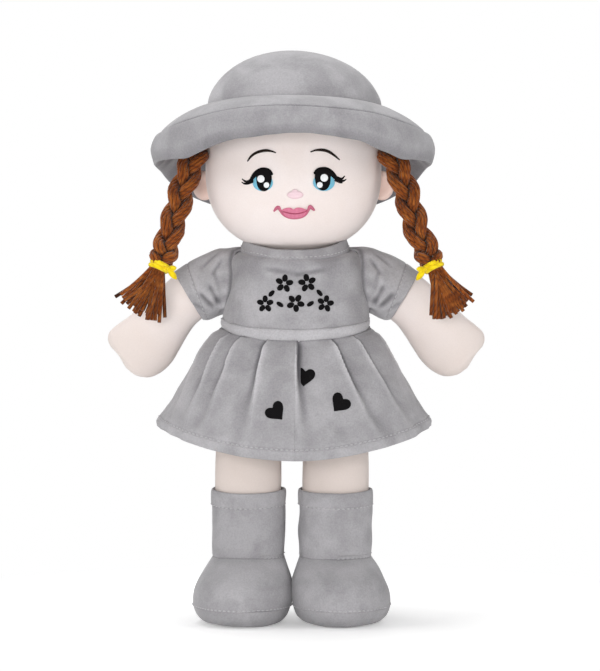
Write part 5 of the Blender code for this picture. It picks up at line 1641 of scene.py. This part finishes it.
def boot_cuff(side, sign, ankle_x):
    """The turned cuff, which dips in front and has painted shade beside its seam."""
    grid, out = boot_part(CUFF, ankle_x, ankle_x, 30, 89 + sign, dip=2.2, uneven=0.25)
    made = to_object(f"boot_cuff_{side}", [shell_parts(grid, grid - out * 2.2 * MM, True)], PLUSH)
    fit(made, f"leg_{side}", "grey_plush", f"boot_{side}_cuff")
    paint_shade_and_tone(made, 0.7 * bell(np.linspace(0, 1, 30)[:, None], 0.05) + 0 * grid[..., 0])
    return "cuff", grid[4], out[4]


# %% Both boots and their stitches
for side, sign in SIDES:
    ankle_x = LEG_X[side]
    foot_x = ankle_x + sign * TOES_OUT
    boot_sole(side, sign, foot_x)
    seams = (
        boot_foot(side, sign, foot_x, ankle_x),
        boot_shaft(side, sign, ankle_x),
        boot_cuff(side, sign, ankle_x),
    )
    for name, path, away in seams:
        path = closed(path) + closed(away) * 0.1 * MM
        made = stitches(f"boot_{name}_stitches_{side}", path, closed(away), 3.4 * MM, 2.3 * MM)
        fit(made, f"leg_{side}", None)

# %% [markdown]
# ## Floor and light
#
# The doll stands on a plain white floor in soft light. A big lamp in front, one on each side and a
# pale sky light every face at about the level at which a colour looks as it is written. The floor
# keeps the doll's shadow, so it is lit like the doll, with a little white added for the camera.

# %% Floor, sky and lamps
floor_mesh = bpy.data.meshes.new("floor")
floor_mesh.from_pydata([(-6, -6, 0), (6, -6, 0), (6, 9, 0), (-6, 9, 0)], [], [(0, 1, 2, 3)])
floor = bpy.data.objects.new("floor", floor_mesh)
bpy.context.scene.collection.objects.link(floor)
paper = bpy.data.materials.new("matt_white_paper")
paper.use_nodes = True
tree = paper.node_tree
tree.nodes.clear()
diffuse = add(tree, "BsdfDiffuse", {"Color": linear("#FAFAFA")})
glow = add(tree, "Emission", {"Color": linear("#FFFFFF"), "Strength": 0.32})
seen = add(tree, "LightPath")
straight = {0: seen.outputs["Is Camera Ray"], 1: seen.outputs["Is Glossy Ray"]}
for_camera = add(tree, "Math", straight, operation="MAXIMUM")
lifted = add(tree, "MixShader", {0: for_camera.outputs[0], 2: glow.outputs[0]})
near = add(tree, "AddShader", {0: diffuse.outputs[0], 1: lifted.outputs[0]})
away = add(tree, "VectorMath", {0: add(tree, "TexCoord").outputs["Object"]}, operation="LENGTH")
reach = {"Value": away.outputs["Value"], "From Min": 0.16, "From Max": 0.34}
share = add(tree, "MapRange", reach, interpolation_type="SMOOTHSTEP")
far = add(tree, "Math", {0: share.outputs[0], 1: for_camera.outputs[0]}, operation="MULTIPLY")
plain = add(tree, "Emission", {"Color": linear("#FFFFFF"), "Strength": 1.0})
paper_look = add(tree, "MixShader", {0: far.outputs[0], 1: near.outputs[0], 2: plain.outputs[0]})
tree.links.new(paper_look.outputs[0], add(tree, "OutputMaterial").inputs[0])
floor_mesh.materials.append(paper)

world = bpy.data.worlds.new("soft_studio")
bpy.context.scene.world = world
world.use_nodes = True
tree = world.node_tree
tree.nodes.clear()
sky = add(tree, "Background", {"Color": linear("#FFFFFF"), "Strength": 0.29})
white = add(tree, "Background", {"Color": linear("#FFFFFF"), "Strength": 1.0})
seen = add(tree, "LightPath")
straight = {0: seen.outputs["Is Camera Ray"], 1: seen.outputs["Is Glossy Ray"]}
straight = {0: add(tree, "Math", straight, operation="MAXIMUM").outputs[0]}
straight[1] = seen.outputs["Is Transmission Ray"]
direct = add(tree, "Math", straight, operation="MAXIMUM")
shown = add(tree, "MixShader", {0: direct.outputs[0], 1: sky.outputs[0], 2: white.outputs[0]})
tree.links.new(shown.outputs[0], add(tree, "OutputWorld").inputs[0])

for name, place, size, power in (
    ("front_softbox", (-0.5, -2.6, 0.25), 1.2, 44.0),
    ("left_softbox", (-1.9, -0.7, 1.1), 0.9, 7.5),
    ("right_softbox", (1.9, -0.9, 0.7), 0.9, 9.5),
    ("top_softbox", (-0.3, 0.1, 2.2), 1.4, 22.0),
    ("back_softbox", (0.3, 2.2, 1.4), 1.6, 12.0),
):
    lamp_data = bpy.data.lights.new(name, "AREA")
    lamp_data.size = size
    lamp_data.energy = power
    lamp = bpy.data.objects.new(name, lamp_data)
    bpy.context.scene.collection.objects.link(lamp)
    lamp.location = place
    aim = np.array([0, 0, 0.2]) - np.array(place)
    steep = math.acos(-aim[2] / np.linalg.norm(aim))
    lamp.rotation_euler = (steep, 0, math.atan2(aim[1], aim[0]) - math.pi / 2)
bpy.context.scene.view_settings.view_transform = "Standard"

# %% [markdown]
# ## Motion
#
# The head turns on the neck, the arms lift and the legs swing, and some cloth belongs to two parts.
# Here the sleeves and their stitches have their placing baked into their points, and the skirt
# halves, their hem stitches and the hearts each get a mesh of their own.

# %% What bends with a joint
joints = {joint["name"]: joint for joint in frame["record"]["behaviour"]["joints"]}
for side, sign in SIDES:
    pivot = np.array(joints[f"shoulder_{side}_lift"]["pos_m"])
    start = pivot + np.array([sign * -9 * MM, 0, 2 * MM])  # the armhole
    end = pivot + np.array([sign * 16 * MM, 0, -9 * MM])  # on the way to the hem
    for name in (f"sleeve_cloth_{side}", f"sleeve_hem_stitches_{side}"):
        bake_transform(bpy.data.objects[name])
    for name in (f"skirt_cloth_{side}", f"skirt_hem_stitches_{side}"):
        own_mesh(bpy.data.objects[name])
for name, side, *_ in HEARTS:
    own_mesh(bpy.data.objects[name + "_thread"])
